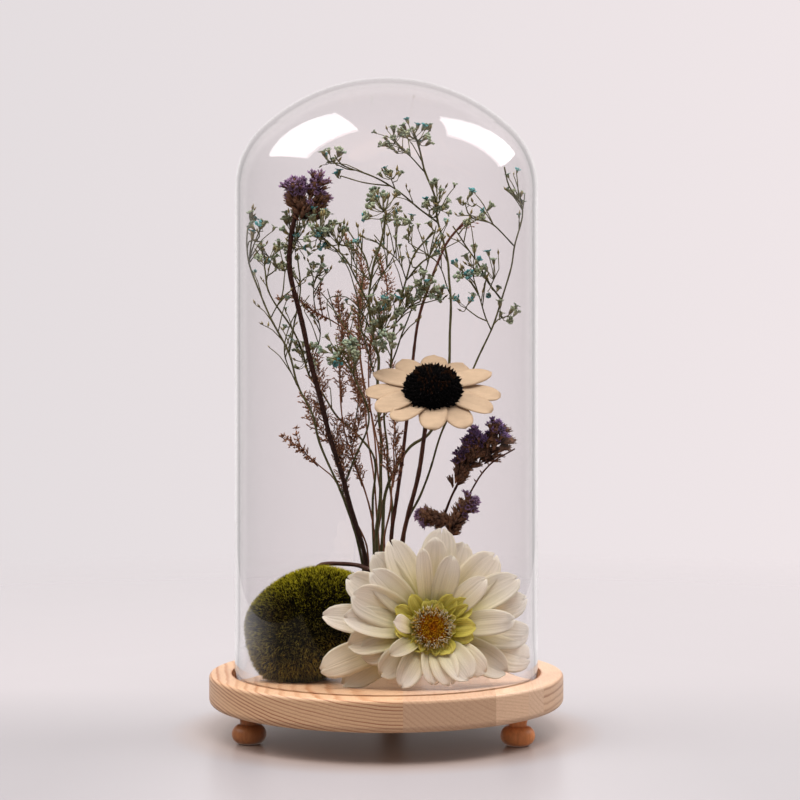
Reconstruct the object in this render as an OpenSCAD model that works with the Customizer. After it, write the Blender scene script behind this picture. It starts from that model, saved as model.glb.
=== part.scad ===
// Bell jar dome: a glass dome that lifts off a round wooden base with three turned feet,
// over an arrangement of dried and cloth flowers and a moss-covered stone.
// Millimetres, +Z up, front towards -Y, origin on the floor under the centre of the base.

/* [Base board] */
// Radius of the base board
board_r = 70; // [66:0.5:80]
// Thickness of the base board
board_t = 12; // [10:0.5:16]
// Radius of the board's rounded top edge
board_top_round = 1.5; // [0.5:0.25:2]
// Radius of the board's rounded bottom edge
board_bottom_round = 2.5; // [1:0.25:4]
// Where the glued seams between the staves lie, from left to right
seams_x = [6.5, 40.5, 53.2, 59.5];
// Depth of the groove that the glass stands in
groove_d = 3; // [2:0.25:3.5]
// Gap between the glass and each side of the groove
groove_gap = 1.2; // [0.6:0.1:1.6]

/* [Feet] */
// Height of a foot between the floor and the board
foot_h = 11.5; // [10:0.25:16]
// Largest radius of a foot's ball
ball_r = 6.65; // [5:0.05:8]
// Radius of the circle that the feet stand on
foot_circle_r = 59; // [50:0.5:60]
// How far the three feet are turned about the centre
foot_turn = -2; // [-3:0.5:0]
// Radius of a foot's tenon
tenon_r = 2.5; // [2:0.1:2.5]
// Length of a foot's tenon in the board
tenon_h = 7; // [4:0.25:7]

/* [Glass dome] */
// Outer radius of the glass
glass_r = 60; // [58:0.5:62]
// Thickness of the glass
glass_t = 2; // [1.5:0.1:3]
// Height of the straight wall
wall_h = 194; // [190:1:210]
// Height of the rounded cap above the straight wall
cap_h = 43.5; // [42:0.5:50]
// Radius of the shoulder arc between the wall and the crown
shoulder_r = 32; // [30:0.5:34]

/* [Arrangement] */
// Long semi-axis of the moss stone
stone_a = 27; // [24:0.5:27]
// Short semi-axis of the moss stone
stone_b = 20.5; // [17:0.5:20.5]
// How far the stone's long axis leans up to the right
stone_lean = 25; // [15:1:30]
// Thickness of the moss on the stone
moss_t = 1.6; // [1:0.1:2.5]
// Length of the large cloth flower's petals
gerbera_petal = 40; // [30:1:40]
// Length of the shaving flower's petals, from its centre
daisy_petal = 26; // [22:0.5:26]

/* [Hidden] */
$fn = 64;
eps = 0.01;

board_z = foot_h;
board_top = board_z + board_t;
groove_z = board_top - groove_d;
groove_in = glass_r - glass_t - groove_gap;
groove_out = glass_r + groove_gap;
wall_top = groove_z + wall_h;
// Radius of the crown arc that meets the shoulder arc without a corner
crown_r = (glass_r * glass_r + cap_h * cap_h - 2 * glass_r * shoulder_r) / (2 * (cap_h - shoulder_r));
stave_edges = concat([-board_r], seams_x, [board_r]);
// Angles of the three feet about the centre
foot_angles = [210 + foot_turn, 330 + foot_turn, 90 + foot_turn];
hole_gap = 0.05;
// Height between a tenon's end and the end of its hole
hole_spare = 0.2;

// The block of floral foam that holds the stems
foam_at = [2, 16];
foam_bottom_r = 12.5;
foam_top_r = 11.5;
foam_h = 18.5;

stone_at = [-30, -2, 43.5];

// The cloth gerbera faces the front and a little upwards
gerbera_at = [17, -26, 43];
gerbera_tilt = 75;
gerbera_yaw = 6;
petal_t = 0.6;
gerbera_hub_r = 5;
layer_h = 1.6;
// Furthest that a petal may reach from the centre of the dome
inside_r = glass_r - glass_t - 2;
gerbera_stem_r = 0.9;

// The shaving daisy faces up and leans to the front
daisy_at = [18, -14, 135];
daisy_tilt = 33.6;
shaving_t = 0.5;
cone_r = 11.4;

// Routes of the stems, from the foam to the tip
gerbera_route = [
    [15.5, -13, 40.5], [10, -11, 46], [2, -7, 55], [-3, -1, 61.5], [-9, 4, 64.2], [-13, 7, 65],
    [-24, 11, 65], [-28, 14, 63.5], [-30, 18, 58], [-30, 21, 45], [-29, 22, 24.4]
];
daisy_route = [
    [5, 6, 30], [6, -2, 71], [7, -4, 79], [12, -8, 99], [15, -12, 118], [17.4, -13.2, 133.2]
];
statice_left_route = [
    [-7, 12, 30], [-9, 9.5, 67], [-16, 8, 94], [-23, 7, 117], [-31, 5, 150], [-38, 4, 179],
    [-38, 3, 197], [-36, 2, 205]
];
statice_upper_route = [[8, 8, 30], [13, 0, 67], [20, -4, 80], [27, -6, 96]];
statice_lower_route = [
    [10, 12, 30], [16, -4, 62], [25, -12, 80], [35, -12, 99], [42, -12, 107], [50, -12, 112]
];
limonium_left_route = [
    [-7, 15, 30], [-10, 12, 67], [-18, 10, 93], [-27, 8, 114], [-30, 7, 125], [-36, 6, 137],
    [-39, 4, 150], [-46, 2, 164], [-51, 1, 175], [-55, 0, 185], [-56, 0, 193], [-56, 0, 199]
];
limonium_back_left_route = [
    [-6, 20, 30], [-5.5, 19.5, 90], [-5, 18, 107], [-13, 19, 118], [-20, 18, 124], [-26, 18, 133],
    [-32, 17, 141], [-35, 16, 152], [-39, 15, 161], [-48, 14, 175], [-50, 14, 185]
];
limonium_middle_route = [
    [-4, 13, 30], [-4, 13, 72], [-3, 12, 91], [-2, 11, 109], [-3, 9, 125], [-4, 6, 139],
    [-3, 4, 148], [-5, 2, 156], [-7, -2, 169], [-6, -5, 178], [-5, -7, 185], [-1, -9, 197],
    [0, -11, 205]
];
limonium_centre_route = [
    [3, 18, 30], [2, 21, 72], [2, 22, 90], [0, 20, 110], [-1, 17, 125], [2, 14, 146],
    [3, 10, 161], [8, 8, 179], [11, 6, 189], [19, 4, 198]
];
limonium_tall_route = [
    [-1, 17, 30], [-2, 16, 73], [-1, 18, 90], [3, 20, 102], [10, 22, 112], [17, 24, 117],
    [24, 26, 131], [26, 27, 154], [26, 27, 185], [24, 26, 193], [21, 25, 204], [20, 24, 214],
    [16, 23, 224], [14, 22, 233], [11, 21, 242]
];
limonium_right_route = [
    [6, 13, 30], [7, 10, 78], [14, 6, 93], [21, 5, 115], [35, 5, 144], [42, 5, 159],
    [46, 4, 171], [50, 2, 184], [51, 0, 192], [54, -3, 206], [48, -8, 215], [46, -12, 222]
];
caspia_left_route = [
    [-6, 17.5, 30], [-8, 15, 70], [-14, 14, 85], [-18, 13, 103], [-25, 12, 123],
    [-29, 12, 137], [-32, 12, 155]
];
caspia_long_route = [
    [-3, 23, 30], [-4, 23.5, 72], [-2.5, 21.5, 90], [-4, 20.5, 115], [-8, 19, 133], [-13, 16, 156],
    [-22, 14, 163], [-30, 12, 167], [-37, 11.5, 172], [-44, 10.5, 172]
];
caspia_middle_route = [
    [-3, 19, 30], [-5, 17, 78], [-12, 14, 103], [-17, 12, 119], [-19, 8, 139],
    [-18, 6, 161], [-20, 5, 173]
];
caspia_back_route = [
    [1, 23, 30], [-2, 26, 82], [-5, 25.5, 115], [-8, 26, 141], [-6, 27, 157], [0, 29, 176],
    [-4, 30, 193]
];
caspia_rear_route = [
    [-1, 26, 30], [-4, 28, 82], [-7, 29, 110], [-12, 33, 160], [-10, 35, 185], [-18, 36, 200]
];
caspia_right_route = [[-1, 13, 30], [-1, 12, 74], [2, 8, 91], [3, 5, 105], [3, 2, 122], [2, 1, 129]];
bare_route = [
    [2, 10, 30], [2, 9, 74], [4, 10, 91], [8, 13, 121], [12, 16, 158], [15, 17, 171],
    [24, 20, 194], [32, 21, 204]
];

wood_colour = [0.86, 0.70, 0.55];
foot_colour = [0.62, 0.38, 0.22];
glass_colour = [0.85, 0.92, 0.92, 0.35];
foam_colour = [0.20, 0.28, 0.12];
moss_colour = [0.33, 0.36, 0.10];
cream_colour = [0.93, 0.91, 0.82];
green_colour = [0.78, 0.78, 0.35];
core_colour = [0.70, 0.42, 0.12];
shaving_colour = [0.92, 0.82, 0.66];
cone_colour = [0.05, 0.04, 0.04];
twig_colour = [0.28, 0.16, 0.10];
sage_colour = [0.45, 0.52, 0.42];
statice_colour = [0.42, 0.32, 0.48];
rust_colour = [0.55, 0.36, 0.26];

// A tapered rod from one point to another, with round ends
module rod(p, q, r1, r2, sides = 6) {
    hull() {
        translate(p) sphere(r1, $fn = sides);
        translate(q) sphere(r2, $fn = sides);
    }
}

// A stem along a route
module stem(route, r_foot, r_tip) {
    last = len(route) - 1;
    for (i = [0 : last - 1]) {
        r1 = r_foot + (r_tip - r_foot) * i / last;
        r2 = r_foot + (r_tip - r_foot) * (i + 1) / last;
        rod(route[i], route[i + 1], r1, r2);
    }
}

// Small heads of florets: each one is a short twig from a branch, with a ball at its end
module florets(twigs, r) {
    for (t = twigs) {
        rod(t[0], t[1], 0.35, 0.3);
        translate(t[1]) sphere(r, $fn = 8);
    }
}

module board_outline() {
    square_t = board_t - board_top_round - board_bottom_round;
    translate([0, board_z]) square([board_r - board_bottom_round, board_bottom_round + eps]);
    translate([0, board_z + board_bottom_round]) square([board_r, square_t]);
    translate([0, board_top - board_top_round - eps]) square([board_r - board_top_round, board_top_round + eps]);
    translate([board_r - board_bottom_round, board_z + board_bottom_round]) circle(board_bottom_round);
    translate([board_r - board_top_round, board_top - board_top_round]) circle(board_top_round);
}

// One strip of the edge-glued board, with its part of the groove and the holes for the feet
module stave(i) {
    x1 = stave_edges[i];
    x2 = stave_edges[i + 1];
    color(wood_colour)
        intersection() {
            difference() {
                rotate_extrude() board_outline();
                difference() {
                    translate([0, 0, groove_z]) cylinder(h = board_t, r = groove_out);
                    translate([0, 0, board_z]) cylinder(h = 2 * board_t, r = groove_in);
                }
                for (a = foot_angles)
                    rotate([0, 0, a])
                        translate([foot_circle_r, 0, board_z - eps])
                            cylinder(h = tenon_h + hole_spare, r = tenon_r + hole_gap);
            }
            translate([x1, -board_r, 0]) cube([x2 - x1, 2 * board_r, 2 * board_top]);
        }
}

module stave_left() { stave(0); }
module stave_middle() { stave(1); }
module stave_right() { stave(2); }
module stave_narrow() { stave(3); }
module stave_edge() { stave(4); }

// A turned bun foot: a ball, a hollowed neck that flares to the board, and a tenon
module foot(angle) {
    ball_round = 3.75;
    ball_axis = ball_r - ball_round;
    flare_r = 6.4;
    neck_z = 7.3;
    cove_r = 3.2;
    cove_at = [6.7, 8.1];
    color(foot_colour)
        rotate([0, 0, angle]) translate([foot_circle_r, 0, 0]) {
            rotate_extrude() {
                intersection() {
                    translate([ball_axis, ball_round]) circle(ball_round);
                    square([2 * ball_r, 2 * ball_round]);
                }
                square([ball_axis, 2 * ball_round]);
                difference() {
                    translate([0, neck_z]) square([flare_r, foot_h - neck_z]);
                    translate(cove_at) circle(cove_r);
                }
            }
            translate([0, 0, foot_h - eps]) cylinder(h = tenon_h + eps, r = tenon_r);
        }
}

module foot_front_left() { foot(foot_angles[0]); }
module foot_front_right() { foot(foot_angles[1]); }
module foot_back() { foot(foot_angles[2]); }

// Half outline of the dome, pulled in by a distance, as one wall, one shoulder arc and one crown arc
module dome_outline(inset, bottom) {
    crown_at = wall_top + cap_h - crown_r;
    reach = [glass_r - shoulder_r, wall_top - crown_at];
    intersection() {
        union() {
            translate([0, bottom]) square([glass_r - inset, wall_top - bottom]);
            translate([glass_r - shoulder_r, wall_top]) circle(shoulder_r - inset);
            intersection() {
                translate([0, crown_at]) circle(crown_r - inset);
                translate([0, crown_at]) polygon([[0, 0], 4 * reach, [0, 4 * crown_r]]);
            }
        }
        square([2 * glass_r, 2 * (wall_top + cap_h)]);
    }
}

module glass_dome() {
    color(glass_colour)
        rotate_extrude($fn = 128)
            difference() {
                dome_outline(0, groove_z);
                dome_outline(glass_t, groove_z - 1);
            }
}

module floral_foam() {
    color(foam_colour)
        translate([foam_at[0], foam_at[1], board_top])
            cylinder(h = foam_h, r1 = foam_bottom_r, r2 = foam_top_r);
}

// The stone's egg shape, pulled in by a distance and cut flat where it is glued to the board
module stone_shape(inset) {
    a = stone_a - inset;
    b = stone_b - inset;
    steps = 16;
    outline = [for (i = [0 : steps]) [b * sin(180 * i / steps), a * cos(180 * i / steps)]];
    difference() {
        translate(stone_at)
            rotate([0, 90 - stone_lean, 0])
                rotate_extrude() polygon(outline);
        translate([-board_r, -board_r, 0]) cube([2 * board_r, 2 * board_r, board_top]);
    }
}

module stone_core() {
    color(foam_colour) stone_shape(moss_t);
}

module moss_cover() {
    color(moss_colour)
        difference() {
            stone_shape(0);
            stone_shape(moss_t);
        }
}

module at_gerbera() {
    translate(gerbera_at) rotate([gerbera_tilt, 0, gerbera_yaw]) children();
}

// A direction given in the gerbera's own axes, turned into the model's axes
function gerbera_way(v) =
    let (y = v[1] * cos(gerbera_tilt) - v[2] * sin(gerbera_tilt),
         z = v[1] * sin(gerbera_tilt) + v[2] * cos(gerbera_tilt))
    [v[0] * cos(gerbera_yaw) - y * sin(gerbera_yaw), v[0] * sin(gerbera_yaw) + y * cos(gerbera_yaw), z];

// How long a petal can be before it meets the board or the glass
function petal_reach(d, most) =
    let (to_board = d[2] < -0.05 ? (board_top + 3 - gerbera_at[2]) / d[2] : most,
         a = d[0] * d[0] + d[1] * d[1],
         b = d[0] * gerbera_at[0] + d[1] * gerbera_at[1],
         c = gerbera_at[0] * gerbera_at[0] + gerbera_at[1] * gerbera_at[1] - inside_r * inside_r)
    min(most, to_board, (sqrt(b * b - a * c) - b) / a - 2);

// Outline of a petal along X: it widens from its foot to a round end
module petal(length, w_foot, w_end) {
    straight = length - w_end / 2;
    polygon([[0, -w_foot / 2], [straight, -w_end / 2], [straight, w_end / 2], [0, w_foot / 2]]);
    translate([straight, 0]) circle(d = w_end, $fn = 24);
}

// One layer of the gerbera's petals, cut from one piece of cloth with a disc at its centre
module gerbera_layer(level, count, turn, most) {
    low = level * layer_h - petal_t;
    at_gerbera() translate([0, 0, low]) {
        linear_extrude(petal_t)
            for (i = [0 : count - 1]) {
                a = turn + 360 * i / count;
                reach = petal_reach(gerbera_way([cos(a), sin(a), 0]), most);
                rotate(a) petal(reach, 4, 10);
            }
        cylinder(h = layer_h, r = gerbera_hub_r);
    }
}

module gerbera_petals_back() {
    color(cream_colour) gerbera_layer(0, 14, 0, gerbera_petal);
}

module gerbera_petals_front() {
    color(cream_colour) gerbera_layer(1, 12, 13, gerbera_petal - 5);
}

// The cup of small yellow-green petals round the core
module gerbera_florets() {
    low = 2 * layer_h - petal_t;
    cup_r = 16;
    cup_h = 5;
    color(green_colour)
        at_gerbera() translate([0, 0, low])
            rotate_extrude()
                polygon([[0, 0], [gerbera_hub_r, 0], [cup_r, cup_h], [cup_r, cup_h + 1],
                         [gerbera_hub_r + 1, 1.5], [0, 1.5]]);
}

module gerbera_core() {
    low = 2 * layer_h - petal_t + 1.5;
    core_r = 6.5;
    core_h = 3;
    color(core_colour)
        at_gerbera() translate([0, 0, low]) {
            cylinder(h = core_h, r = core_r - 0.5);
            intersection() {
                translate([0, 0, core_h - 4.5]) sphere(7.5);
                cylinder(h = 2 * core_h, r = core_r - 0.5);
            }
        }
}

module gerbera_calyx() {
    calyx_h = 11.4;
    color(green_colour)
        at_gerbera() translate([0, 0, -petal_t - calyx_h])
            cylinder(h = calyx_h, r1 = 2, r2 = gerbera_hub_r);
}

module gerbera_stem() {
    color(twig_colour) stem(gerbera_route, gerbera_stem_r, gerbera_stem_r);
}

module at_daisy() {
    translate(daisy_at) rotate([daisy_tilt, 0, 0]) children();
}

// Six oval shavings glued to a small disc
module daisy_layer(low, turn) {
    hub_r = 6;
    count = 6;
    at_daisy() translate([0, 0, low])
        linear_extrude(shaving_t) {
            for (i = [0 : count - 1])
                rotate(turn + 360 * i / count) petal(daisy_petal, 6, 11);
            circle(hub_r);
        }
}

module daisy_petals_lower() {
    color(shaving_colour) daisy_layer(0, 0);
}

module daisy_petals_upper() {
    color(shaving_colour) daisy_layer(shaving_t, 30);
}

module daisy_cone() {
    sunk = 1;
    color(cone_colour)
        at_daisy() translate([0, 0, 2 * shaving_t])
            intersection() {
                translate([0, 0, -sunk]) sphere(cone_r);
                cylinder(h = 2 * cone_r, r = 2 * cone_r);
            }
}

module daisy_stem() {
    color(twig_colour) stem(daisy_route, 0.95, 0.85);
}

// A head of statice: a bundle of calyces that opens to a round top
module statice_head(p, q, r) {
    rod(p, q, 0.8, r, 12);
}

module statice_left() {
    color(statice_colour) {
        stem(statice_left_route, 0.8, 0.8);
        statice_head([-36, 2, 205], [-35, 1, 213], 6.5);
        statice_head([-36, 2, 205], [-28, 2, 215], 6);
    }
}

module statice_right_upper() {
    color(statice_colour) {
        stem(statice_upper_route, 0.6, 0.6);
        statice_head([27, -6, 96], [31, -6, 105], 4.5);
        statice_head([31, -6, 105], [38, -7, 112], 5.5);
        statice_head([38, -7, 112], [44, -7, 118], 4.5);
    }
}

module statice_right_lower() {
    color(statice_colour) {
        stem(statice_lower_route, 0.6, 0.3);
        statice_head([25, -12, 80], [31, -15, 90], 4);
        statice_head([25, -13, 84], [16, -16, 87], 4);
    }
}

module limonium_left() {
    color(sage_colour) {
        stem(limonium_left_route, 0.6, 0.35);
        stem([[-55, 0, 185], [-53, -3, 191], [-50, -5, 198]], 0.35, 0.3);
        stem([[-39, 4, 150], [-37, 8, 161], [-35, 8, 174], [-36, 9, 190]], 0.4, 0.3);
        stem([[-18, 10, 93], [-14, 12, 105], [-8, 7, 119], [-8, 0, 129], [-15, -8, 146]], 0.5, 0.4);
        florets([[[-56, 0, 198], [-54, 0, 204]], [[-50, -5, 197], [-50, -5, 200]]], 1.8);
        florets([[[-36, 9, 189], [-36, 9, 192]], [[-35, 8, 174], [-32, 7, 180]]], 1.8);
        florets([[[-15, -8, 145], [-15, -8, 148]], [[-14, -7, 143], [-20, -9, 153]]], 3.5);
    }
}

module limonium_back_left() {
    color(sage_colour) {
        stem(limonium_back_left_route, 0.6, 0.35);
        florets([[[-50, 14, 184], [-50, 14, 187]], [[-49, 14, 181], [-45, 14, 191]]], 3);
    }
}

module limonium_middle() {
    color(sage_colour) {
        stem(limonium_middle_route, 0.9, 0.4);
        stem([[-6, -5, 178], [-9, -2, 188], [-15, 0, 198]], 0.4, 0.3);
        stem([[-7, -2, 169], [-16, -4, 186], [-26, -6, 196]], 0.4, 0.3);
        florets([[[0, -11, 204], [0, -11, 207]], [[-1, -9, 197], [-5, -10, 212]]], 3.5);
        florets([[[-15, 0, 197], [-15, 0, 200]], [[-25, -6, 194], [-27, -6, 198]]], 3.5);
    }
}

module limonium_centre() {
    color(sage_colour) {
        stem(limonium_centre_route, 0.6, 0.35);
        florets([[[4, 10, 164], [6, 6, 170]], [[7, 8, 175], [11, 3, 178]]], 3);
        florets([[[18, 4, 197], [20, 4, 200]]], 3);
    }
}

module limonium_tall() {
    color(sage_colour) {
        stem(limonium_tall_route, 0.8, 0.4);
        stem([[21, 25, 205], [14, 22, 209], [-2, 16, 220], [-18, 10, 226], [-21, 9, 230]], 0.4, 0.3);
        stem([[16, 23, 224], [11, 24, 230], [3, 25, 239]], 0.35, 0.3);
        florets([[[11, 21, 241], [11, 21, 244]], [[3, 25, 238], [5, 25, 241]]], 2.8);
        florets([[[11, 24, 230], [3, 25, 234]], [[13, 22, 236], [17, 20, 243]]], 2.8);
        florets([[[-20, 9, 229], [-21, 9, 230]], [[-1, 16, 220], [-6, 13, 218]]], 2.2);
        florets([[[21, 25, 204], [27, 20, 211]]], 2.2);
    }
}

module limonium_right() {
    color(sage_colour) {
        stem(limonium_right_route, 0.55, 0.3);
        stem([[46, 4, 171], [40, 0, 179], [36, -4, 185], [26, -10, 199]], 0.4, 0.3);
        stem([[51, 0, 192], [42, -6, 200], [34, -9, 202]], 0.35, 0.3);
        stem([[54, -3, 206], [55.5, -2, 212]], 0.3, 0.3);
        florets([[[36, -4, 185], [33, -7, 181]], [[40, 0, 179], [44, -3, 179]]], 2.5);
        florets([[[44, 5, 164], [49, 7, 166]], [[35, -9, 202], [33, -10, 204]]], 2.5);
        florets([[[26, -10, 198], [25, -11, 201]], [[46, -12, 221], [46, -12, 223]]], 2);
    }
}

// A feathery plume, drawn as a slim spindle along part of a route
module plume(route, from, r) {
    last = len(route) - 1;
    for (i = [from : last - 1]) {
        t1 = (i - from) / (last - from);
        t2 = (i + 1 - from) / (last - from);
        rod(route[i], route[i + 1], 0.4 + r * sin(180 * t1), 0.4 + r * sin(180 * t2));
    }
}

module caspia(route, from) {
    color(rust_colour) {
        stem(route, 0.5, 0.3);
        plume(route, from, 1);
    }
}

module caspia_left() {
    caspia(caspia_left_route, 2);
    color(rust_colour)
        stem([[-14, 14, 85], [-21, 15, 99], [-27, 16, 104], [-41, 16, 116]], 0.4, 0.3);
}

module caspia_long() { caspia(caspia_long_route, 5); }
module caspia_middle() { caspia(caspia_middle_route, 3); }
module caspia_back() { caspia(caspia_back_route, 3); }
module caspia_rear() { caspia(caspia_rear_route, 2); }
module caspia_right() { caspia(caspia_right_route, 2); }

module bare_stem() {
    color(twig_colour) stem(bare_route, 0.9, 0.6);
}

stave_left();
stave_middle();
stave_right();
stave_narrow();
stave_edge();
foot_front_left();
foot_front_right();
foot_back();
glass_dome();
floral_foam();
stone_core();
moss_cover();
gerbera_stem();
gerbera_calyx();
gerbera_petals_back();
gerbera_petals_front();
gerbera_florets();
gerbera_core();
daisy_stem();
daisy_petals_lower();
daisy_petals_upper();
daisy_cone();
statice_left();
statice_right_upper();
statice_right_lower();
limonium_left();
limonium_back_left();
limonium_middle();
limonium_centre();
limonium_tall();
limonium_right();
caspia_left();
caspia_long();
caspia_middle();
caspia_back();
caspia_rear();
caspia_right();
bare_stem();
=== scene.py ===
"""A bell jar: a glass dome on a round wooden base, over dried and cloth flowers and a moss-covered stone."""
import math
import random

import bpy
import numpy as np
from mathutils import Matrix, Vector


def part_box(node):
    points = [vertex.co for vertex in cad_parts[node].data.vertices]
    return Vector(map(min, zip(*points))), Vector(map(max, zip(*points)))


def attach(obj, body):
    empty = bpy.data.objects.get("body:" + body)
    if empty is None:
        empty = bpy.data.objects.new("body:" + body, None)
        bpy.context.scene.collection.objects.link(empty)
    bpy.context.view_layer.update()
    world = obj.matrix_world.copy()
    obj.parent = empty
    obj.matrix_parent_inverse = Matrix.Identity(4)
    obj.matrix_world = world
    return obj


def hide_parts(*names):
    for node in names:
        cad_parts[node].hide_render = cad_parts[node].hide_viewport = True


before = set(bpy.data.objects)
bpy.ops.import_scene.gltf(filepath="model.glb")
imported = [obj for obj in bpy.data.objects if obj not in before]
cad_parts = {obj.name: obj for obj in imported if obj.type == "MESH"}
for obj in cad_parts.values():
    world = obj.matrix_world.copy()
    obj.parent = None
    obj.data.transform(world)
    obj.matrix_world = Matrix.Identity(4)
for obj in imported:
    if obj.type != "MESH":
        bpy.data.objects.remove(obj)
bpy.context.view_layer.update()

# Lengths are in metres for the materials, lights, camera and stage, and in millimetres for the pieces
MM = 0.001
TURN = 2 * math.pi
BOARD_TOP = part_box("stave_left")[1].z / MM
GLASS_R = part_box("glass_dome")[1].x / MM
GLASS_LOW, GLASS_TOP = (corner.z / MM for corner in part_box("glass_dome"))
GLASS_WALL = 2.0
GLASS_CAP_H = 43.5  # how high the rounded top is
GLASS_INSIDE_R = 58.0
GLASS_WALL_TOP = 214.5  # where the straight wall ends
WHITE = (1, 1, 1)


def is_one(tint):
    """Whether a tint is one colour, and not a list of them."""
    return isinstance(tint[0], (int, float))


def in_scene(name, data):
    """A new object in the scene."""
    thing = bpy.data.objects.new(name, data)
    bpy.context.scene.collection.objects.link(thing)
    return thing


# ---------------------------------------------------------------- nodes

def feed(tree, socket, value):
    """Gives an input another node's output, or a plain value."""
    if isinstance(value, bpy.types.NodeSocket):
        tree.links.new(value, socket)
    else:
        socket.default_value = value


def node(tree, kind, inputs=None, **settings):
    """A new shader node, with its settings and its inputs."""
    n = tree.nodes.new("ShaderNode" + kind)
    for key, value in settings.items():
        setattr(n, key, value)
    for key, value in (inputs or {}).items():
        feed(tree, n.inputs[key], value)
    return n


def maths(tree, operation, *values, clamp=False):
    """A sum on sockets or plain values."""
    n = node(tree, "Math", dict(enumerate(values)), operation=operation, use_clamp=clamp)
    return n.outputs["Value"]


def fit(tree, value, times, plus):
    """value * times + plus, kept from 0 to 1."""
    return maths(tree, "MULTIPLY_ADD", value, times, plus, clamp=True)


def length(tree, x, y):
    """The length of a flat vector."""
    squares = [maths(tree, "MULTIPLY", c, c) for c in (x, y)]
    return maths(tree, "SQRT", maths(tree, "ADD", *squares))


def ramp(tree, factor, stops):
    """A colour ramp through (place, colour) stops."""
    n = node(tree, "ValToRGB", {"Fac": factor})
    elements = n.color_ramp.elements
    while len(elements) < len(stops):
        elements.new(1)
    for element, (place, colour) in zip(elements, stops):
        element.position = place
        element.color = (*colour, 1)
    return n.outputs["Color"]


def mix(tree, factor, a, b, blend="MIX"):
    """A mix of two colours, each a socket or a plain colour."""
    a, b = ((*c, 1) if isinstance(c, tuple) else c for c in (a, b))
    n = node(tree, "Mix", data_type="RGBA", blend_type=blend)
    for key, value in (("Factor", factor), ("A", a), ("B", b)):
        feed(tree, n.inputs[key], value)
    return n.outputs["Result"]


def place(tree, **mapping):
    """Where a point is in its object, in metres, moved or scaled if a mapping says so."""
    here = node(tree, "TexCoord").outputs["Object"]
    return node(tree, "Mapping", {"Vector": here, **mapping}).outputs["Vector"] if mapping else here


def noise(tree, vector, scale, detail):
    """Noise from 0 to 1, with a scale in waves a metre."""
    return node(tree, "TexNoise", {"Vector": vector, "Scale": scale, "Detail": detail}).outputs["Fac"]


def bump(tree, shader, height, strength, distance, **under):
    """Raises a surface, on top of an earlier normal if there is one."""
    n = node(tree, "Bump", {"Height": height, "Strength": strength, "Distance": distance, **under})
    tree.links.new(n.outputs["Normal"], shader.inputs["Normal"])
    return n.outputs["Normal"]


def mirrored(tree):
    """1 for a ray that something has mirrored, and 0 for any other."""
    return maths(tree, "GREATER_THAN", node(tree, "LightPath").outputs["Glossy Depth"], 0.5)


def plain_material(name, roughness=0.6):
    """A material with its tree and its Principled shader."""
    material = bpy.data.materials.new(name)
    material.use_nodes = True
    tree = material.node_tree
    shader = tree.nodes["Principled BSDF"]
    shader.inputs["Roughness"].default_value = roughness
    return material, tree, shader


def two_ways(tree, factor, first, second):
    """Makes the surface a mix of two shader nodes."""
    both = node(tree, "MixShader", {0: factor, 1: first.outputs[0], 2: second.outputs[0]})
    tree.links.new(both.outputs[0], tree.nodes["Material Output"].inputs["Surface"])


# ---------------------------------------------------------------- camera, light and floor

def set_camera():
    """The camera stands 0.7 m in front of the jar, at half its height, and looks along +Y."""
    data = bpy.data.cameras.new("camera")
    data.lens = 79.3
    data.sensor_width = 36
    camera = in_scene("camera", data)
    camera.location = (0.0054, -0.700, 0.131)
    camera.rotation_euler = (math.radians(90), 0, 0)
    bpy.context.scene.camera = camera


def softbox(name, towards, distance, size, turn, power):
    """A rectangular light in a direction from the dome's shoulder, facing back to it."""
    data = bpy.data.lights.new(name, "AREA")
    data.shape = "RECTANGLE"
    data.size, data.size_y = size
    data.energy = power
    light = in_scene(name, data)
    shoulder = Vector((0, -0.03, 0.23))
    direction = Vector(towards).normalized()
    light.location = shoulder + direction * distance
    facing = direction.to_track_quat("Z", "Y").to_matrix().to_4x4()
    light.rotation_euler = (facing @ Matrix.Rotation(math.radians(turn), 4, "Z")).to_euler()


def fill_light(at, size, power):
    """A soft lamp overhead, which the glass does not mirror."""
    data = bpy.data.lights.new("fill", "AREA")
    data.size = size
    data.energy = power
    light = in_scene("fill", data)
    light.location = at
    light.rotation_euler = (Vector(at) - Vector((0, 0, 0.05))).to_track_quat("Z", "Y").to_euler()
    light.visible_glossy = light.visible_transmission = False


def set_world():
    """A pale studio all round. In the glass it is dark in front, and bright far behind and overhead."""
    world = bpy.data.worlds.new("studio")
    world.use_nodes = True
    bpy.context.scene.world = world
    tree = world.node_tree
    x, y, z = node(tree, "SeparateXYZ", {0: node(tree, "TexCoord").outputs["Generated"]}).outputs
    seen = mix(tree, fit(tree, x, 2.2, 0.5), (0.775, 0.725, 0.74), (0.865, 0.79, 0.805))
    greys = [(0.0, 0.01), (0.30, 0.12), (0.62, 0.34), (0.88, 0.52), (0.95, 1.0)]
    in_glass = ramp(tree, y, [(start, (grey,) * 3) for start, grey in greys])
    overhead = maths(tree, "MINIMUM", 0.40, fit(tree, z, 1.2, -0.25))
    in_glass = mix(tree, overhead, in_glass, (1.0, 0.95, 0.955))
    in_glass = mix(tree, 1.0, in_glass, (1.0, 0.96, 0.965), "MULTIPLY")
    scattered = mix(tree, fit(tree, y, 0.55, 0.75), (0.20, 0.185, 0.185), (0.80, 0.74, 0.75))
    colour = mix(tree, node(tree, "LightPath").outputs["Is Diffuse Ray"], seen, scattered)
    background = tree.nodes["Background"]
    tree.links.new(mix(tree, mirrored(tree), colour, in_glass), background.inputs["Color"])
    background.inputs["Strength"].default_value = 1


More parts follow.
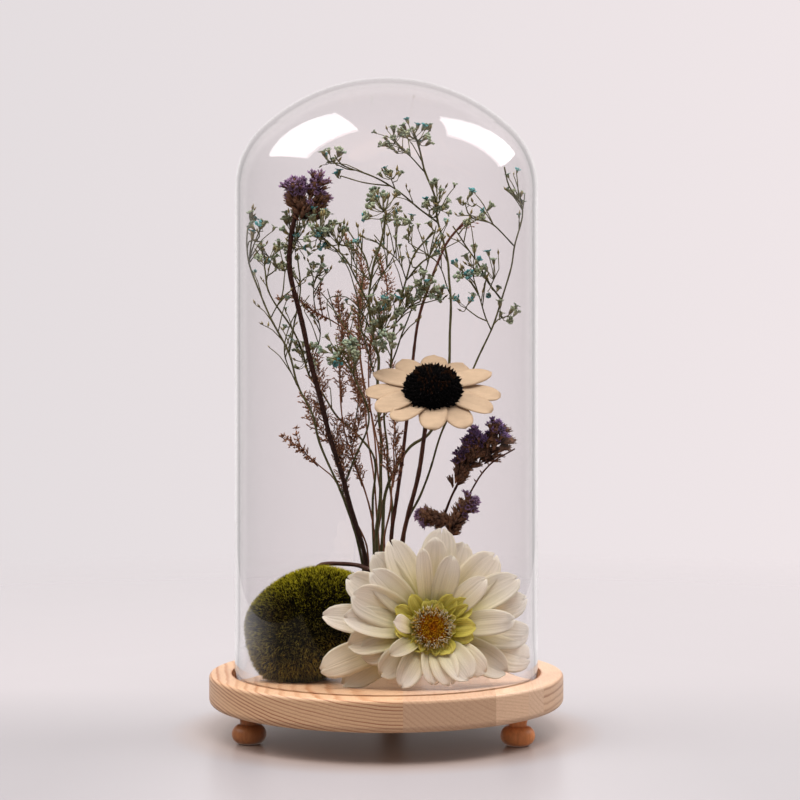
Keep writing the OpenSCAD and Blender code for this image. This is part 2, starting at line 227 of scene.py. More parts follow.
def level_sheet(name, low, high, z, material):
    """A level rectangle of the stage, between two corners."""
    mesh = bpy.data.meshes.new(name)
    corners = [(low[0], low[1], z), (high[0], low[1], z), (high[0], high[1], z), (low[0], high[1], z)]
    mesh.from_pydata(corners, [], [(0, 1, 2, 3)])
    mesh.materials.append(material)
    thing = in_scene(name, mesh)
    return thing


def set_floor():
    """A pale floor that fades into the studio. Its colour holds painted light and shade: a painted warm
    shadow under the board, painted shadow beside the board and at the front left, and painted light far
    behind.
    """
    material, tree, shader = plain_material("floor", 0.32)
    here = place(tree)
    reach = node(tree, "VectorMath", {0: here}, operation="LENGTH").outputs["Value"]
    x, y, _ = node(tree, "SeparateXYZ", {0: here}).outputs
    # Painted shadow: darker beside the board towards the front, and darker again at the front left
    aside = fit(tree, maths(tree, "ABSOLUTE", x), 9.0, -0.1)
    beside = maths(tree, "MULTIPLY", aside, fit(tree, y, -5.0, 0.55))
    left = maths(tree, "MULTIPLY", fit(tree, x, -12.0, -0.4), fit(tree, y, -8.0, 0.8))
    colour = mix(tree, beside, (0.395, 0.364, 0.372), (0.340, 0.318, 0.326))
    colour = mix(tree, left, colour, (0.304, 0.282, 0.290))
    # Painted light makes the floor lighter far behind, and a painted warm shadow lies under the board
    colour = mix(tree, fit(tree, y, 3.3, -0.3), colour, (0.420, 0.387, 0.396))
    colour = mix(tree, fit(tree, reach, -30.0, 2.6), colour, (0.34, 0.22, 0.155))
    tree.links.new(colour, shader.inputs["Base Color"])
    shader.inputs["Specular IOR Level"].default_value = 0.35
    fade = maths(tree, "MAXIMUM", fit(tree, reach, 1.7, -0.40), mirrored(tree))
    two_ways(tree, fade, shader, node(tree, "BsdfTransparent"))
    level_sheet("floor", (-1.6, -1.6), (1.6, 1.6), 0, material).visible_glossy = False


def set_mirror_table():
    """The lit table top that only the glass mirrors: dim in front of the jar and bright behind it."""
    material, tree, _ = plain_material("table")
    y = node(tree, "SeparateXYZ", {0: place(tree)}).outputs["Y"]
    colour = mix(tree, fit(tree, y, 5.0, 0.3), (0.19, 0.16, 0.13), (0.90, 0.85, 0.86))
    light = node(tree, "Emission", {"Color": colour, "Strength": 1.0})
    tree.links.new(light.outputs[0], tree.nodes["Material Output"].inputs["Surface"])
    table = level_sheet("mirror_table", (-0.43, -0.24), (0.45, 1.2), -0.001, material)
    for kind in ("camera", "diffuse", "transmission", "volume_scatter", "shadow"):
        setattr(table, "visible_" + kind, False)


set_camera()
set_world()
set_floor()
set_mirror_table()
softbox("softbox_left", (-0.66, -0.05, 0.75), 1.2, (0.92, 1.05), 0, 14)
softbox("softbox_right", (0.74, 0.18, 0.66), 1.2, (0.66, 1.00), 20, 9.5)
fill_light((0.10, -0.45, 1.25), 0.6, 11)
bpy.context.scene.view_settings.view_transform = "Standard"


# ---------------------------------------------------------------- making meshes

class Shape:
    """Vertices and faces in millimetres, and a tint for each vertex, from which one piece is made."""

    def __init__(self):
        self.verts, self.faces, self.tints = [], [], []

    def add(self, verts, faces, tint):
        """Adds a part, with one tint for all of it or a list with one for each vertex."""
        start = len(self.verts)
        self.verts.extend(verts)
        self.faces.extend([tuple(start + i for i in face) for face in faces])
        self.tints.extend([tint] * len(verts) if is_one(tint) else tint)

    def piece(self, name, material, slot, cad_node, body="base"):
        """Makes the smooth-shaded object, which rides on a body and stands for a CAD node."""
        mesh = bpy.data.meshes.new(name)
        mesh.from_pydata([tuple(c * MM for c in v) for v in self.verts], [], self.faces)
        mesh.materials.append(material)
        mesh.polygons.foreach_set("use_smooth", [True] * len(self.faces))
        tint = mesh.attributes.new("tint", "FLOAT_COLOR", "POINT")
        tint.data.foreach_set("color", np.array([(*t, 1)[:4] for t in self.tints]).ravel())
        mesh.update()
        piece = in_scene(name, mesh)
        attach(piece, body)
        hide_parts(cad_node)
        return piece


def smooth_route(points, step=1.5):
    """Points along a smooth curve through a given route, about a step apart."""
    pts = [Vector(p) for p in points]
    out = []
    for i in range(len(pts) - 1):
        a, b = pts[i], pts[i + 1]
        span = (b - a).length
        before, after = pts[max(i - 1, 0)], pts[min(i + 2, len(pts) - 1)]
        from_a = (b - before) * (span / max((b - a).length + (a - before).length, 1e-6))
        to_b = (after - a) * (span / max((after - b).length + span, 1e-6))
        count = max(2, int(span / step))
        for j in range(count):
            t = j / count
            out.append(a * (2 * t ** 3 - 3 * t * t + 1) + from_a * (t ** 3 - 2 * t * t + t)
                       + b * (3 * t * t - 2 * t ** 3) + to_b * (t ** 3 - t * t))
    out.append(pts[-1])
    return out


def side_ways(direction):
    """Two directions square to a direction and to each other."""
    helper = Vector((1, 0, 0)) if abs(direction.x) < 0.8 else Vector((0, 1, 0))
    u = direction.cross(helper).normalized()
    return u, direction.cross(u)


def around(u, v, angle):
    """A direction at an angle between two others that are square to each other."""
    return u * math.cos(angle) + v * math.sin(angle)


def any_angle(rng):
    """A random angle from the whole turn."""
    return rng.uniform(0, 6.28)


def shake(rng, spread):
    """A small random move in all three directions."""
    return Vector([rng.gauss(0, spread) for _ in range(3)])


def tube(shape, points, radii, sides, tint):
    """A closed tube along points, with a radius for each. tint is one colour, or one for each point."""
    pts = [Vector(p) for p in points]
    n = len(pts)
    verts = []
    u = None
    for i, p in enumerate(pts):
        ahead = (pts[min(i + 1, n - 1)] - pts[max(i - 1, 0)]).normalized()
        u = side_ways(ahead)[0] if u is None else (u - ahead * u.dot(ahead)).normalized()
        v = ahead.cross(u)
        for s in range(sides):
            a = TURN * s / sides
            verts.append(p + around(u, v, a) * radii[i])
    faces = []
    for i in range(n - 1):
        for s in range(sides):
            t = (s + 1) % sides
            faces.append((i * sides + s, i * sides + t, (i + 1) * sides + t, (i + 1) * sides + s))
    faces.append(tuple(reversed(range(sides))))
    faces.append(tuple(range((n - 1) * sides, n * sides)))
    shape.add(verts, faces, tint if is_one(tint) else [t for t in tint for _ in range(sides)])


def blade(shape, base, tip, width, thick, side, tints, belly=0.45):
    """A small closed leaf: pointed at both ends, widest part of the way along."""
    base, tip = Vector(base), Vector(tip)
    ahead = tip - base
    side = (side - ahead * (side.dot(ahead) / max(ahead.length_squared, 1e-9))).normalized()
    face = ahead.cross(side).normalized()
    middle = base + ahead * belly
    verts = [base, middle + side * width / 2, middle - side * width / 2, middle + face * thick / 2,
             middle - face * thick / 2, tip]
    faces = [(0, 1, 3), (0, 3, 2), (0, 2, 4), (0, 4, 1), (5, 3, 1), (5, 2, 3), (5, 4, 2), (5, 1, 4)]
    foot, end = tints
    half = tuple((a + b) / 2 for a, b in zip(foot, end))
    shape.add(verts, faces, [foot, half, half, half, half, end])


def shaded(colour, rng, spread=0.18):
    """A colour made a little lighter or darker."""
    k = 1 + rng.uniform(-spread, spread)
    return tuple(min(1, max(0, c * k)) for c in colour)


def near(way, rng, spread):
    """A direction scattered about another one."""
    return (Vector(way).normalized() + shake(rng, spread)).normalized()


# ---------------------------------------------------------------- glass

def clear_glass():
    """Clear glass. Lamps and scattered light pass straight through it, as they do through a thin wall."""
    material, tree, shader = plain_material("clear_glass")
    tree.nodes.remove(shader)
    glass = node(tree, "BsdfGlass", {"Color": (1.0, 0.993, 0.994, 1), "Roughness": 0.0, "IOR": 1.47})
    through = node(tree, "BsdfTransparent", {"Color": (0.97, 0.98, 0.98, 1)})
    path = node(tree, "LightPath").outputs
    two_ways(tree, maths(tree, "MAXIMUM", path["Is Shadow Ray"], path["Is Diffuse Ray"]), glass, through)
    return material


def glass_outline(inset):
    """Points (radius, height) from the rim up to the crown, pulled in by a distance."""
    radius, shoulder_r = GLASS_R, 32
    wall_top = GLASS_TOP - GLASS_CAP_H
    crown_r = (radius ** 2 + GLASS_CAP_H ** 2 - 2 * radius * shoulder_r) / (2 * (GLASS_CAP_H - shoulder_r))
    crown_z = GLASS_TOP - crown_r
    meet = math.atan2(wall_top - crown_z, radius - shoulder_r)
    points = [(radius - inset, z) for z in np.linspace(GLASS_LOW + 1, wall_top, 12)[:-1]]
    for a in np.linspace(0, meet, 28):
        reach = shoulder_r - inset
        points.append((radius - shoulder_r + reach * math.cos(a), wall_top + reach * math.sin(a)))
    for a in np.linspace(meet, math.pi / 2, 24)[1:]:
        points.append(((crown_r - inset) * math.cos(a), crown_z + (crown_r - inset) * math.sin(a)))
    points[-1] = (0, points[-1][1])
    return points


def lathe(shape, outline, segments, tint):
    """Turns an outline of (radius, height) about the Z axis. Its two ends lie on the axis."""
    verts, rows = [], []
    for r, z in outline:
        if r < 1e-6:
            rows.append([len(verts)])
            verts.append((0, 0, z))
        else:
            rows.append(list(range(len(verts), len(verts) + segments)))
            for s in range(segments):
                a = TURN * s / segments
                verts.append((r * math.cos(a), r * math.sin(a), z))
    faces = []
    for a, b in zip(rows[:-1], rows[1:]):
        for s in range(segments):
            t = (s + 1) % segments
            corners = [a[s % len(a)], a[t % len(a)], b[t % len(b)], b[s % len(b)]]
            faces.append(tuple(dict.fromkeys(corners)))
    shape.add(verts, faces, tint)


def make_glass():
    """The jar's wall, with a rounded rim."""
    outer, inner = glass_outline(0), glass_outline(GLASS_WALL)
    half = GLASS_WALL / 2
    middle_r, low = outer[0][0] - half, outer[0][1]
    turns = np.linspace(0, math.pi, 9)[1:-1]
    rim = [(middle_r - half * math.cos(a), low - half * math.sin(a)) for a in turns]
    dome = Shape()
    lathe(dome, inner[::-1] + rim + outer, 192, WHITE)
    dome.piece("bell_jar_glass", clear_glass(), "clear_glass", "glass_dome", body="dome")


make_glass()


# ---------------------------------------------------------------- wood

# The second colour is the late wood painted lighter on the board's top face: painted light
LATE_WOOD, LATE_WOOD_PAINTED_LIGHTER_ON_TOP = (0.235, 0.056, 0.014), (0.44, 0.175, 0.065)
GROOVE_EDGE_R, GROOVE_EDGE_COLOUR = 0.0610, (0.42, 0.15, 0.045)


def board_wood(name, centre, period, contrast, lean=0.0, seed=0.0, pale=(0.59, 0.365, 0.205)):
    """Softwood. Its growth rings are cylinders along the stave, round a centre (x, z) and a period apart."""
    material, tree, shader = plain_material(name, 0.48)
    moved = place(tree, Location=(seed, seed * 2, 0))
    x, y, z = node(tree, "SeparateXYZ", {0: place(tree)}).outputs
    swing = maths(tree, "MULTIPLY_ADD", noise(tree, moved, 14.0, 2.0), 0.010, -0.005)
    slant = maths(tree, "MULTIPLY_ADD", y, lean, swing)
    off_x = maths(tree, "ADD", maths(tree, "SUBTRACT", x, centre[0]), slant)
    off_z = maths(tree, "SUBTRACT", z, centre[1])
    drawn_out = node(tree, "Mapping", {"Vector": moved, "Scale": (1, 0.06, 1)}).outputs["Vector"]
    fibres = noise(tree, drawn_out, 2600.0, 3.0)
    rings = maths(tree, "MULTIPLY", length(tree, off_x, off_z), 1 / period)
    rings = maths(tree, "ADD", rings, maths(tree, "MULTIPLY", noise(tree, moved, 120.0, 3.0), 0.45))
    rings = maths(tree, "ADD", rings, maths(tree, "MULTIPLY", fibres, 0.16))
    year = node(tree, "TexWhiteNoise", {"W": maths(tree, "FLOOR", rings)}, noise_dimensions="1D")
    depths = [(0.0, 0), (0.50, 0.06), (0.80, 1), (0.90, 0.80), (1.0, 0)]
    late = ramp(tree, maths(tree, "FRACT", rings), [(start, (depth,) * 3) for start, depth in depths])
    late = maths(tree, "MULTIPLY", late, maths(tree, "MULTIPLY_ADD", year.outputs["Value"], 0.55, 0.55))
    amount = maths(tree, "MULTIPLY", fit(tree, noise(tree, moved, 35.0, 2.0), 1.0, 0.45), contrast)
    # Faces that look up get lighter early and late wood than the rim: painted light from above
    facing_up = node(tree, "SeparateXYZ", {0: node(tree, "TexCoord").outputs["Normal"]}).outputs["Z"]
    top = maths(tree, "GREATER_THAN", facing_up, 0.7)
    late_colour = mix(tree, top, LATE_WOOD, LATE_WOOD_PAINTED_LIGHTER_ON_TOP)
    early_colour = mix(tree, top, pale, tuple(min(1, c * k) for c, k in zip(pale, (1.12, 1.10, 1.14))))
    colour = mix(tree, maths(tree, "MULTIPLY", late, amount), early_colour, late_colour)
    off_edge = maths(tree, "ABSOLUTE", maths(tree, "SUBTRACT", length(tree, x, y), GROOVE_EDGE_R))
    edge = maths(tree, "MULTIPLY", fit(tree, off_edge, -1300.0, 1.25), 0.75)
    colour = mix(tree, edge, colour, GROOVE_EDGE_COLOUR)
    specks = ramp(tree, fibres, [(0.35, (0.78, 0.74, 0.70)), (0.60, WHITE)])
    tree.links.new(mix(tree, 0.55, colour, specks, "MULTIPLY"), shader.inputs["Base Color"])
    bump(tree, shader, fibres, 0.12, 0.0004)
    shader.inputs["Coat Weight"].default_value = 0.15
    shader.inputs["Coat Roughness"].default_value = 0.35
    return material


def foot_wood(name, strength):
    """Turned hardwood under a warm brown satin stain. strength makes the stain lighter or darker on each
    foot: painted light and shade.
    """
    material, tree, shader = plain_material(name, 0.34)
    grain = noise(tree, place(tree, Scale=(1, 1, 0.12)), 900.0, 4.0)
    stains = (0.49, 0.180, 0.064), (0.64, 0.255, 0.094)
    # strength scales the stain colours: painted light and shade
    dark, pale = (tuple(strength * c for c in stain) for stain in stains)
    colour = ramp(tree, grain, [(0.30, dark), (0.70, pale)])
    shade = ramp(tree, noise(tree, place(tree), 160.0, 2.0), [(0.35, (0.80, 0.78, 0.76)), (0.65, WHITE)])
    tree.links.new(mix(tree, 1.0, colour, shade, "MULTIPLY"), shader.inputs["Base Color"])
    shader.inputs["Specular IOR Level"].default_value = 0.25
    bump(tree, shader, grain, 0.06, 0.0003)
    return material


def give(node_name, material):
    """Puts one material on a CAD node."""
    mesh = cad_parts[node_name].data
    mesh.materials.clear()
    mesh.materials.append(material)


# Each strip: the middle of its growth rings (x, z), how far apart they are, and how strongly they show
give("stave_left", board_wood("wood_left", (0.005, 0.205), 0.0013, 0.95, lean=0.10))
for strip, centre, period, contrast, seed, pale in (
        ("middle", (0.090, 0.110), 0.0016, 0.24, 0.3, (0.53, 0.335, 0.205)),
        ("right", (0.030, -0.060), 0.0012, 0.22, 0.6, (0.66, 0.435, 0.28)),
        ("narrow", (0.120, 0.060), 0.0012, 0.25, 0.8, (0.64, 0.43, 0.285)),
        ("edge", (0.050, 0.150), 0.0026, 0.65, 0.2, (0.64, 0.42, 0.265))):
    give("stave_" + strip, board_wood("wood_" + strip, centre, period, contrast, seed=seed, pale=pale))
# Painted light and shade: the right foot is painted lighter, as if lit, and the left darker, as if in shade
for foot, strength in (("foot_front_left", 0.67), ("foot_front_right", 1.36), ("foot_back", 1.0)):
    give(foot, foot_wood(foot + "_wood", strength))


# ---------------------------------------------------------------- materials for the flowers

def tinted(name, roughness=0.7, grain=500.0, depth=0.25, bumps=0.3, light_through=0.0, stretch=WHITE,
           gloss=0.15, pleats=0.0):
    """A material that takes its colour from the mesh's tint, with fine noise in colour and height."""
    material, tree, shader = plain_material(name, roughness)
    tint = node(tree, "Attribute", attribute_name="tint").outputs
    fine = noise(tree, place(tree, Scale=stretch), grain, 4.0)
    shade = ramp(tree, fine, [(0.30, (1 - depth,) * 3), (0.70, WHITE)])
    colour = mix(tree, 1.0, tint["Color"], shade, "MULTIPLY")
    normal = bump(tree, shader, fine, bumps, 0.0004)
    if pleats:
        folds = node(tree, "TexNoise", {"W": tint["Alpha"], "Scale": 14.0, "Detail": 3.0},
                     noise_dimensions="1D").outputs["Fac"]
        lines = ramp(tree, folds, [(0.36, (1 - pleats, 1 - pleats, 1 - 1.2 * pleats)), (0.60, WHITE)])
        colour = mix(tree, 1.0, colour, lines, "MULTIPLY")
        bump(tree, shader, folds, 0.5, 0.0005, Normal=normal)
    tree.links.new(colour, shader.inputs["Base Color"])
    shader.inputs["Specular IOR Level"].default_value = gloss
    if light_through:
        two_ways(tree, light_through, shader, node(tree, "BsdfTranslucent", {"Color": colour}))
    return material


# ---------------------------------------------------------------- moss, foam and stone

def inside(p, margin=3.2):
    """A point, moved in to stay clear of the glass and the board."""
    p = Vector(p)
    cap_h = GLASS_CAP_H - GLASS_WALL
    up_cap = min(1, max(0.0, p.z - GLASS_WALL_TOP) / (cap_h - margin))
    limit = (GLASS_INSIDE_R - margin) * math.sqrt(1 - up_cap ** 2)
    reach = math.hypot(p.x, p.y)
    if reach > limit:
        p.x, p.y = p.x * limit / reach, p.y * limit / reach
    p.z = min(max(p.z, BOARD_TOP + 0.3), GLASS_WALL_TOP + cap_h - margin)
    return p


def slid(p, margin):
    """A point of a petal that meets the glass, slid back along it."""
    p, limit = Vector(p), GLASS_INSIDE_R - margin
    if math.hypot(p.x, p.y) > limit and abs(p.x) < limit:
        p.y = math.copysign(math.sqrt(limit ** 2 - p.x ** 2), p.y)
    return inside(p, margin)


def fibres(shape, points, normals, rng, length, width, spread, colour):
    """Short pointed fibres that stand on a surface. colour(point, normal, rng) gives foot and tip tints."""
    for p, n in zip(points, normals):
        way = near(n, rng, spread)
        u, v = side_ways(way)
        turn = any_angle(rng)
        long = length * rng.uniform(0.6, 1.3)
        ring = [p - n * 0.3 + around(u, v, turn + a) * width for a in (0, 2.09, 4.19)]
        tip = p + way * long
        tip.z = max(tip.z, BOARD_TOP + 0.05)
        foot, end = colour(p, n, rng)
        shape.add(ring + [tip], [(0, 2, 1), (0, 1, 3), (1, 2, 3), (2, 0, 3)], [foot, foot, foot, end])


def scatter(verts, faces, count, rng):
    """Random points, with normals, spread evenly over a mesh of quads and triangles."""
    corners = []
    for face in faces:
        for i in range(1, len(face) - 1):
            corners.append((face[0], face[i], face[i + 1]))
    a, b, c = (np.array([verts[t[i]] for t in corners]) for i in range(3))
    cross = np.cross(b - a, c - a)
    sizes = np.linalg.norm(cross, axis=1)
    picks = rng.choices(range(len(corners)), weights=sizes, k=count)
    points, normals = [], []
    for i in picks:
        s, t = rng.random(), rng.random()
        if s + t > 1:
            s, t = 1 - s, 1 - t
        points.append(Vector(a[i] + (b[i] - a[i]) * s + (c[i] - a[i]) * t))
        normals.append(Vector(cross[i] / max(sizes[i], 1e-9)))
    return points, normals


def moss_material():
    """Dull flocked moss, whose colours are in the fibres."""
    return tinted("moss", roughness=0.95, grain=900.0, depth=0.45, bumps=0.5, gloss=0.0)


def make_stone():
    """An egg covered with flocked moss. Painted light makes it brighter on top and on the left and lighter
    and yellower low down, and painted shade darkens it right of its middle. It is brown in a patch at the
    front left.
    """
    rng = random.Random(4)
    centre = Vector((-30, -2, 43.5))
    long_r, short_r = 26.4, 19.9
    lean = math.radians(25)
    along = Vector((math.cos(lean), 0, math.sin(lean)))
    up = Vector((-math.sin(lean), 0, math.cos(lean)))
    rows, columns = 48, 64
    floor = BOARD_TOP + 0.05
    verts, faces = [], []

    def place(i, j):
        """A point of the lumpy egg, in row i and column j."""
        t = math.pi * i / rows
        a = TURN * j / columns
        blunt = 1 + 0.05 * math.cos(t)
        lumps = 1 + 0.010 * math.sin(3 * a + 2 * t) + 0.012 * math.sin(5 * t - a) - 0.012
        reach = short_r * math.sin(t) ** 0.92 * lumps * blunt
        p = centre - along * long_r * math.cos(t) * lumps
        p = p + Vector((0, 1, 0)) * reach * math.cos(a) + up * reach * math.sin(a)
        p.z = max(p.z, floor)
        return p

    verts.append(place(0, 0))
    for i in range(1, rows):
        verts.extend(place(i, j) for j in range(columns))
    verts.append(place(rows, 0))
    last = len(verts) - 1
    for j in range(columns):
        k = (j + 1) % columns
        faces.append((0, 1 + k, 1 + j))
        for i in range(rows - 2):
            a, b = 1 + i * columns, 1 + (i + 1) * columns
            faces.append((a + j, a + k, b + k, b + j))
        faces.append((last, last - columns + j, last - columns + k))

    clumps = {}

    def clump(p, size):
        """The tone of the cube of moss that a point is in."""
        cube = (size, *(round(c / size) for c in p))
        return clumps.setdefault(cube, rng.gauss(0, 1))

    def colours(p, n, rng):
        """The foot and tip tints of a fibre at point p, where the surface looks along n."""
        tone = 0.6 * clump(p, 1.3) + 0.6 * clump(p, 0.8)
        patch = math.sin(p.x * 0.31 + 1.1) * math.sin(p.z * 0.37 + p.x * 0.13) * math.cos(p.y * 0.21)
        tufts = math.sin(p.x * 1.3 + 2 * math.sin(p.z * 0.9)) * math.sin(p.z * 1.5 + p.y * 1.1)
        # A brown patch at the front left of the stone
        brown_patch = math.exp(-((p.x + 43) / 7) ** 2 - ((p.z - 47) / 7) ** 2) if p.y < 0 else 0
        dark = Vector((0.004, 0.0026, 0.0004))
        olive = Vector((0.098, 0.078, 0.004))
        bright = Vector((0.76, 0.64, 0.035))
        # lit is painted light, brighter where the surface looks up and where it looks left, mixed with the
        # moss's own patches, tufts and tone
        lit = 0.19 + 0.55 * max(0, n.z) ** 1.2 + 0.16 * max(0, -n.x) + 0.18 * patch + 0.12 * tufts \
            + 0.22 * tone + rng.gauss(0, 0.20)
        lit = min(1, max(0, lit))
        end = olive.lerp(bright, max(0, lit - 0.4) / 0.6) if lit > 0.4 else dark.lerp(olive, lit / 0.4)
        # Painted light: fibres that look down are made lighter and yellower
        low = min(1, max(0, 0.30 - n.z) * 1.4)
        soft = max(0.05, 0.62 + 0.15 * tufts + 0.20 * patch + 0.30 * tone + rng.gauss(0, 0.22))
        end = end.lerp(Vector((1.0, 0.81, 0.17)) * soft, 0.85 * low)
        end = end.lerp(Vector((0.15, 0.085, 0.03)), 0.6 * brown_patch)
        # Painted shade darkens the moss right of the stone's middle
        end *= 1 - 0.55 * math.exp(-((p.x + 18) / 12) ** 2 - ((p.z - 45) / 8) ** 2)
        return tuple(end * 0.08), tuple(end)

    shape = Shape()
    shape.add(verts, faces, (0.003, 0.0022, 0.0004))
    points, normals = scatter(verts, faces, 32000, rng)
    kept = [(p, n) for p, n in zip(points, normals) if p.z > floor + 0.2]
    fibres(shape, *zip(*kept), rng, 1.45, 0.15, 0.5, colours)
    shape.piece("moss_stone", moss_material(), "moss", "moss_cover")


def make_foam():
    """The foam block, hidden under short dried moss."""
    rng = random.Random(9)
    centre, low = Vector((2, 16, 0)), BOARD_TOP + 0.02
    outline = [(0.0, low), (11.6, low), (12.0, low + 1), (12.0, low + 6), (11.6, low + 12),
               (11.0, low + 16.4), (9.6, low + 17.9), (5.0, low + 18.2), (0.0, low + 18.3)]
    base = Shape()
    lathe(base, outline, 56, WHITE)
    verts = []
    for v in base.verts:
        p = Vector(v)
        a = math.atan2(p.y, p.x)
        swell = 1 + 0.018 * math.sin(5 * a + p.z * 0.4) + 0.014 * math.sin(9 * a - p.z * 0.7) - 0.03
        verts.append(Vector((p.x * swell, p.y * swell, p.z)) + centre)

    def colours(p, n, rng):
        k = rng.uniform(0.5, 1.25)
        return (0.02 * k, 0.022 * k, 0.008 * k), (0.13 * k, 0.14 * k, 0.035 * k)

    shape = Shape()
    shape.add(verts, base.faces, (0.03, 0.035, 0.013))
    points, normals = scatter(verts, base.faces, 9000, rng)
    kept = [(p, n) for p, n in zip(points, normals) if p.z > low + 0.3]
    fibres(shape, *zip(*kept), rng, 1.0, 0.10, 0.55, colours)
    shape.piece("mossed_foam", moss_material(), "floral_foam", "floral_foam")


make_stone()
make_foam()


# ---------------------------------------------------------------- petals

def sheet(shape, middle, up, thick, tints):
    """A closed thin sheet round a grid of points. up is the direction that its upper face looks."""
    rows, columns = len(middle), len(middle[0])
    grid = np.array([[tuple(p) for p in row] for row in middle])
    du = np.gradient(grid, axis=0)
    dv = np.gradient(grid, axis=1)
    normal = np.cross(du, dv)
    normal /= np.maximum(np.linalg.norm(normal, axis=2, keepdims=True), 1e-9)
    centre = rows // 2, columns // 2
    if normal[centre] @ np.array(up) < 0:
        normal = -normal
    half = np.full((rows, columns, 1), thick / 2)
    half[:, 0] = half[:, -1] = thick / 5
    half[-1, :] = thick / 5
    top, bottom = grid + normal * half, grid - normal * half
    verts = [tuple(p) for p in top.reshape(-1, 3)] + [tuple(p) for p in bottom.reshape(-1, 3)]
    under = rows * columns
    flip = np.cross(du[centre], dv[centre]) @ normal[centre] < 0
    faces = []
    for i in range(rows - 1):
        for j in range(columns - 1):
            a, b = i * columns + j, (i + 1) * columns + j
            c, d = b + 1, a + 1
            faces.append((a, b, c, d))
            faces.append((under + d, under + c, under + b, under + a))
    edge = [(0, j) for j in range(columns)] + [(i, columns - 1) for i in range(1, rows)]
    edge += [(rows - 1, j) for j in range(columns - 2, -1, -1)] + [(i, 0) for i in range(rows - 2, 0, -1)]
    loop = [i * columns + j for i, j in edge]
    for a, b in zip(loop, loop[1:] + loop[:1]):
        faces.append((a, b, under + b, under + a))
    if flip:
        faces = [tuple(reversed(face)) for face in faces]
    shape.add(verts, faces, [t for row in tints for t in row] * 2)
    steps = np.linalg.norm(np.cross(grid[1:, :-1] - grid[:-1, :-1], grid[:-1, 1:] - grid[:-1, :-1]), axis=2)
    return float(steps.sum())


def petal(shape, frame_at, angle, start, length, width, lift, curl, rng, thick=0.4, cup=0.12, pleat=0.25,
          pleats=5, end=0.40, foot=0.30, notch=0.05, twist=0.0, rise=0.0, tint=None, rows=18, columns=13):
    """One petal of a flower whose axes are frame_at, with its angles in degrees. Returns its area."""
    phase, mark = any_angle(rng), rng.uniform(0, 40)
    bend = rng.uniform(-1, 1) * 0.05 * length
    cut = [rng.uniform(0.2, 1) for _ in range(4)]
    points, tints = [], []
    r, z = start, rise
    spin = Matrix.Rotation(math.radians(angle), 3, "Z")
    for i in range(rows):
        u = i / (rows - 1)
        slope = math.radians(lift * min(1, 0.45 + 1.6 * u) + curl * u)
        if i:
            r += math.cos(slope) * length / (rows - 1)
            z += math.sin(slope) * length / (rows - 1)
        grow = foot + (1 - foot) * math.sin(min(1, u / 0.62) * math.pi / 2)
        round_off = math.sqrt(max(0.03, 1 - max(0, (u - (1 - end)) / end) ** 2.7))
        half = width / 2 * grow * round_off
        row, row_tints = [], []
        for j in range(columns):
            v = -1 + 2 * j / (columns - 1)
            wave = math.sin(v * math.pi * pleats / 2 + phase) * pleat
            wave *= math.sin(math.pi * min(1, u * 1.1)) * 0.6
            wave += math.sin(v * 2.2 + u * 5 + phase) * 0.35 * u
            dent = notch * length * cut[min(3, int((v + 1) * 2))] * max(0, math.cos(v * math.pi * 1.5)) ** 2
            pull = dent * u ** 8
            side = v * half
            tilt = math.radians(twist) * u
            height = cup * half * v * v * 1.6 + wave
            across = side * math.cos(tilt) - height * math.sin(tilt)
            above = side * math.sin(tilt) + height * math.cos(tilt)
            here = Vector((r - pull * math.cos(slope) - above * math.sin(slope), across + bend * u * u,
                           z - pull * math.sin(slope) + above * math.cos(slope)))
            row.append(slid(frame_at @ (spin @ here), 1.6))
            row_tints.append((*tint(u, v), mark + 0.5 * v))
        points.append(row)
        tints.append(row_tints)
    up = frame_at.to_3x3() @ Vector((0, 0, 1))
    return sheet(shape, points, up, thick, tints)


def lerp(a, b, t):
    """A colour between two others."""
    t = min(1, max(0, t))
    return tuple(x + (y - x) * t for x, y in zip(a, b))


GERBERA = Matrix.Translation((17, -26, 43)) @ Matrix.Rotation(math.radians(6), 4, "Z") \
    @ Matrix.Rotation(math.radians(75), 4, "X")


def cream_tint(rng, green=1.0, white=1.0, end=(0.96, 0.885, 0.785)):
    """A cream petal, green at its foot. A white below 1 and a browner end colour make a darker, browner copy:
    painted shade.
    """
    k = rng.uniform(0.94, 1.03) * white

    def tint(u, v):
        pale = tuple(k * c for c in end)
        cream = lerp((0.92 * k, 0.82 * k, 0.38 * k), pale, u * 1.18)
        colour = lerp((0.56, 0.50, 0.03), cream, (u - 0.06) / (0.50 * green))
        return lerp(colour, (0.86, 0.76, 0.58), max(0, abs(v) - 0.82) * 2.0)
    return tint


def lathe_at(shape, frame_at, outline, segments, tint):
    """A turned form in a flower's own axes."""
    turned = Shape()
    lathe(turned, outline, segments, tint)
    shape.add([frame_at @ Vector(v) for v in turned.verts], turned.faces, tint)


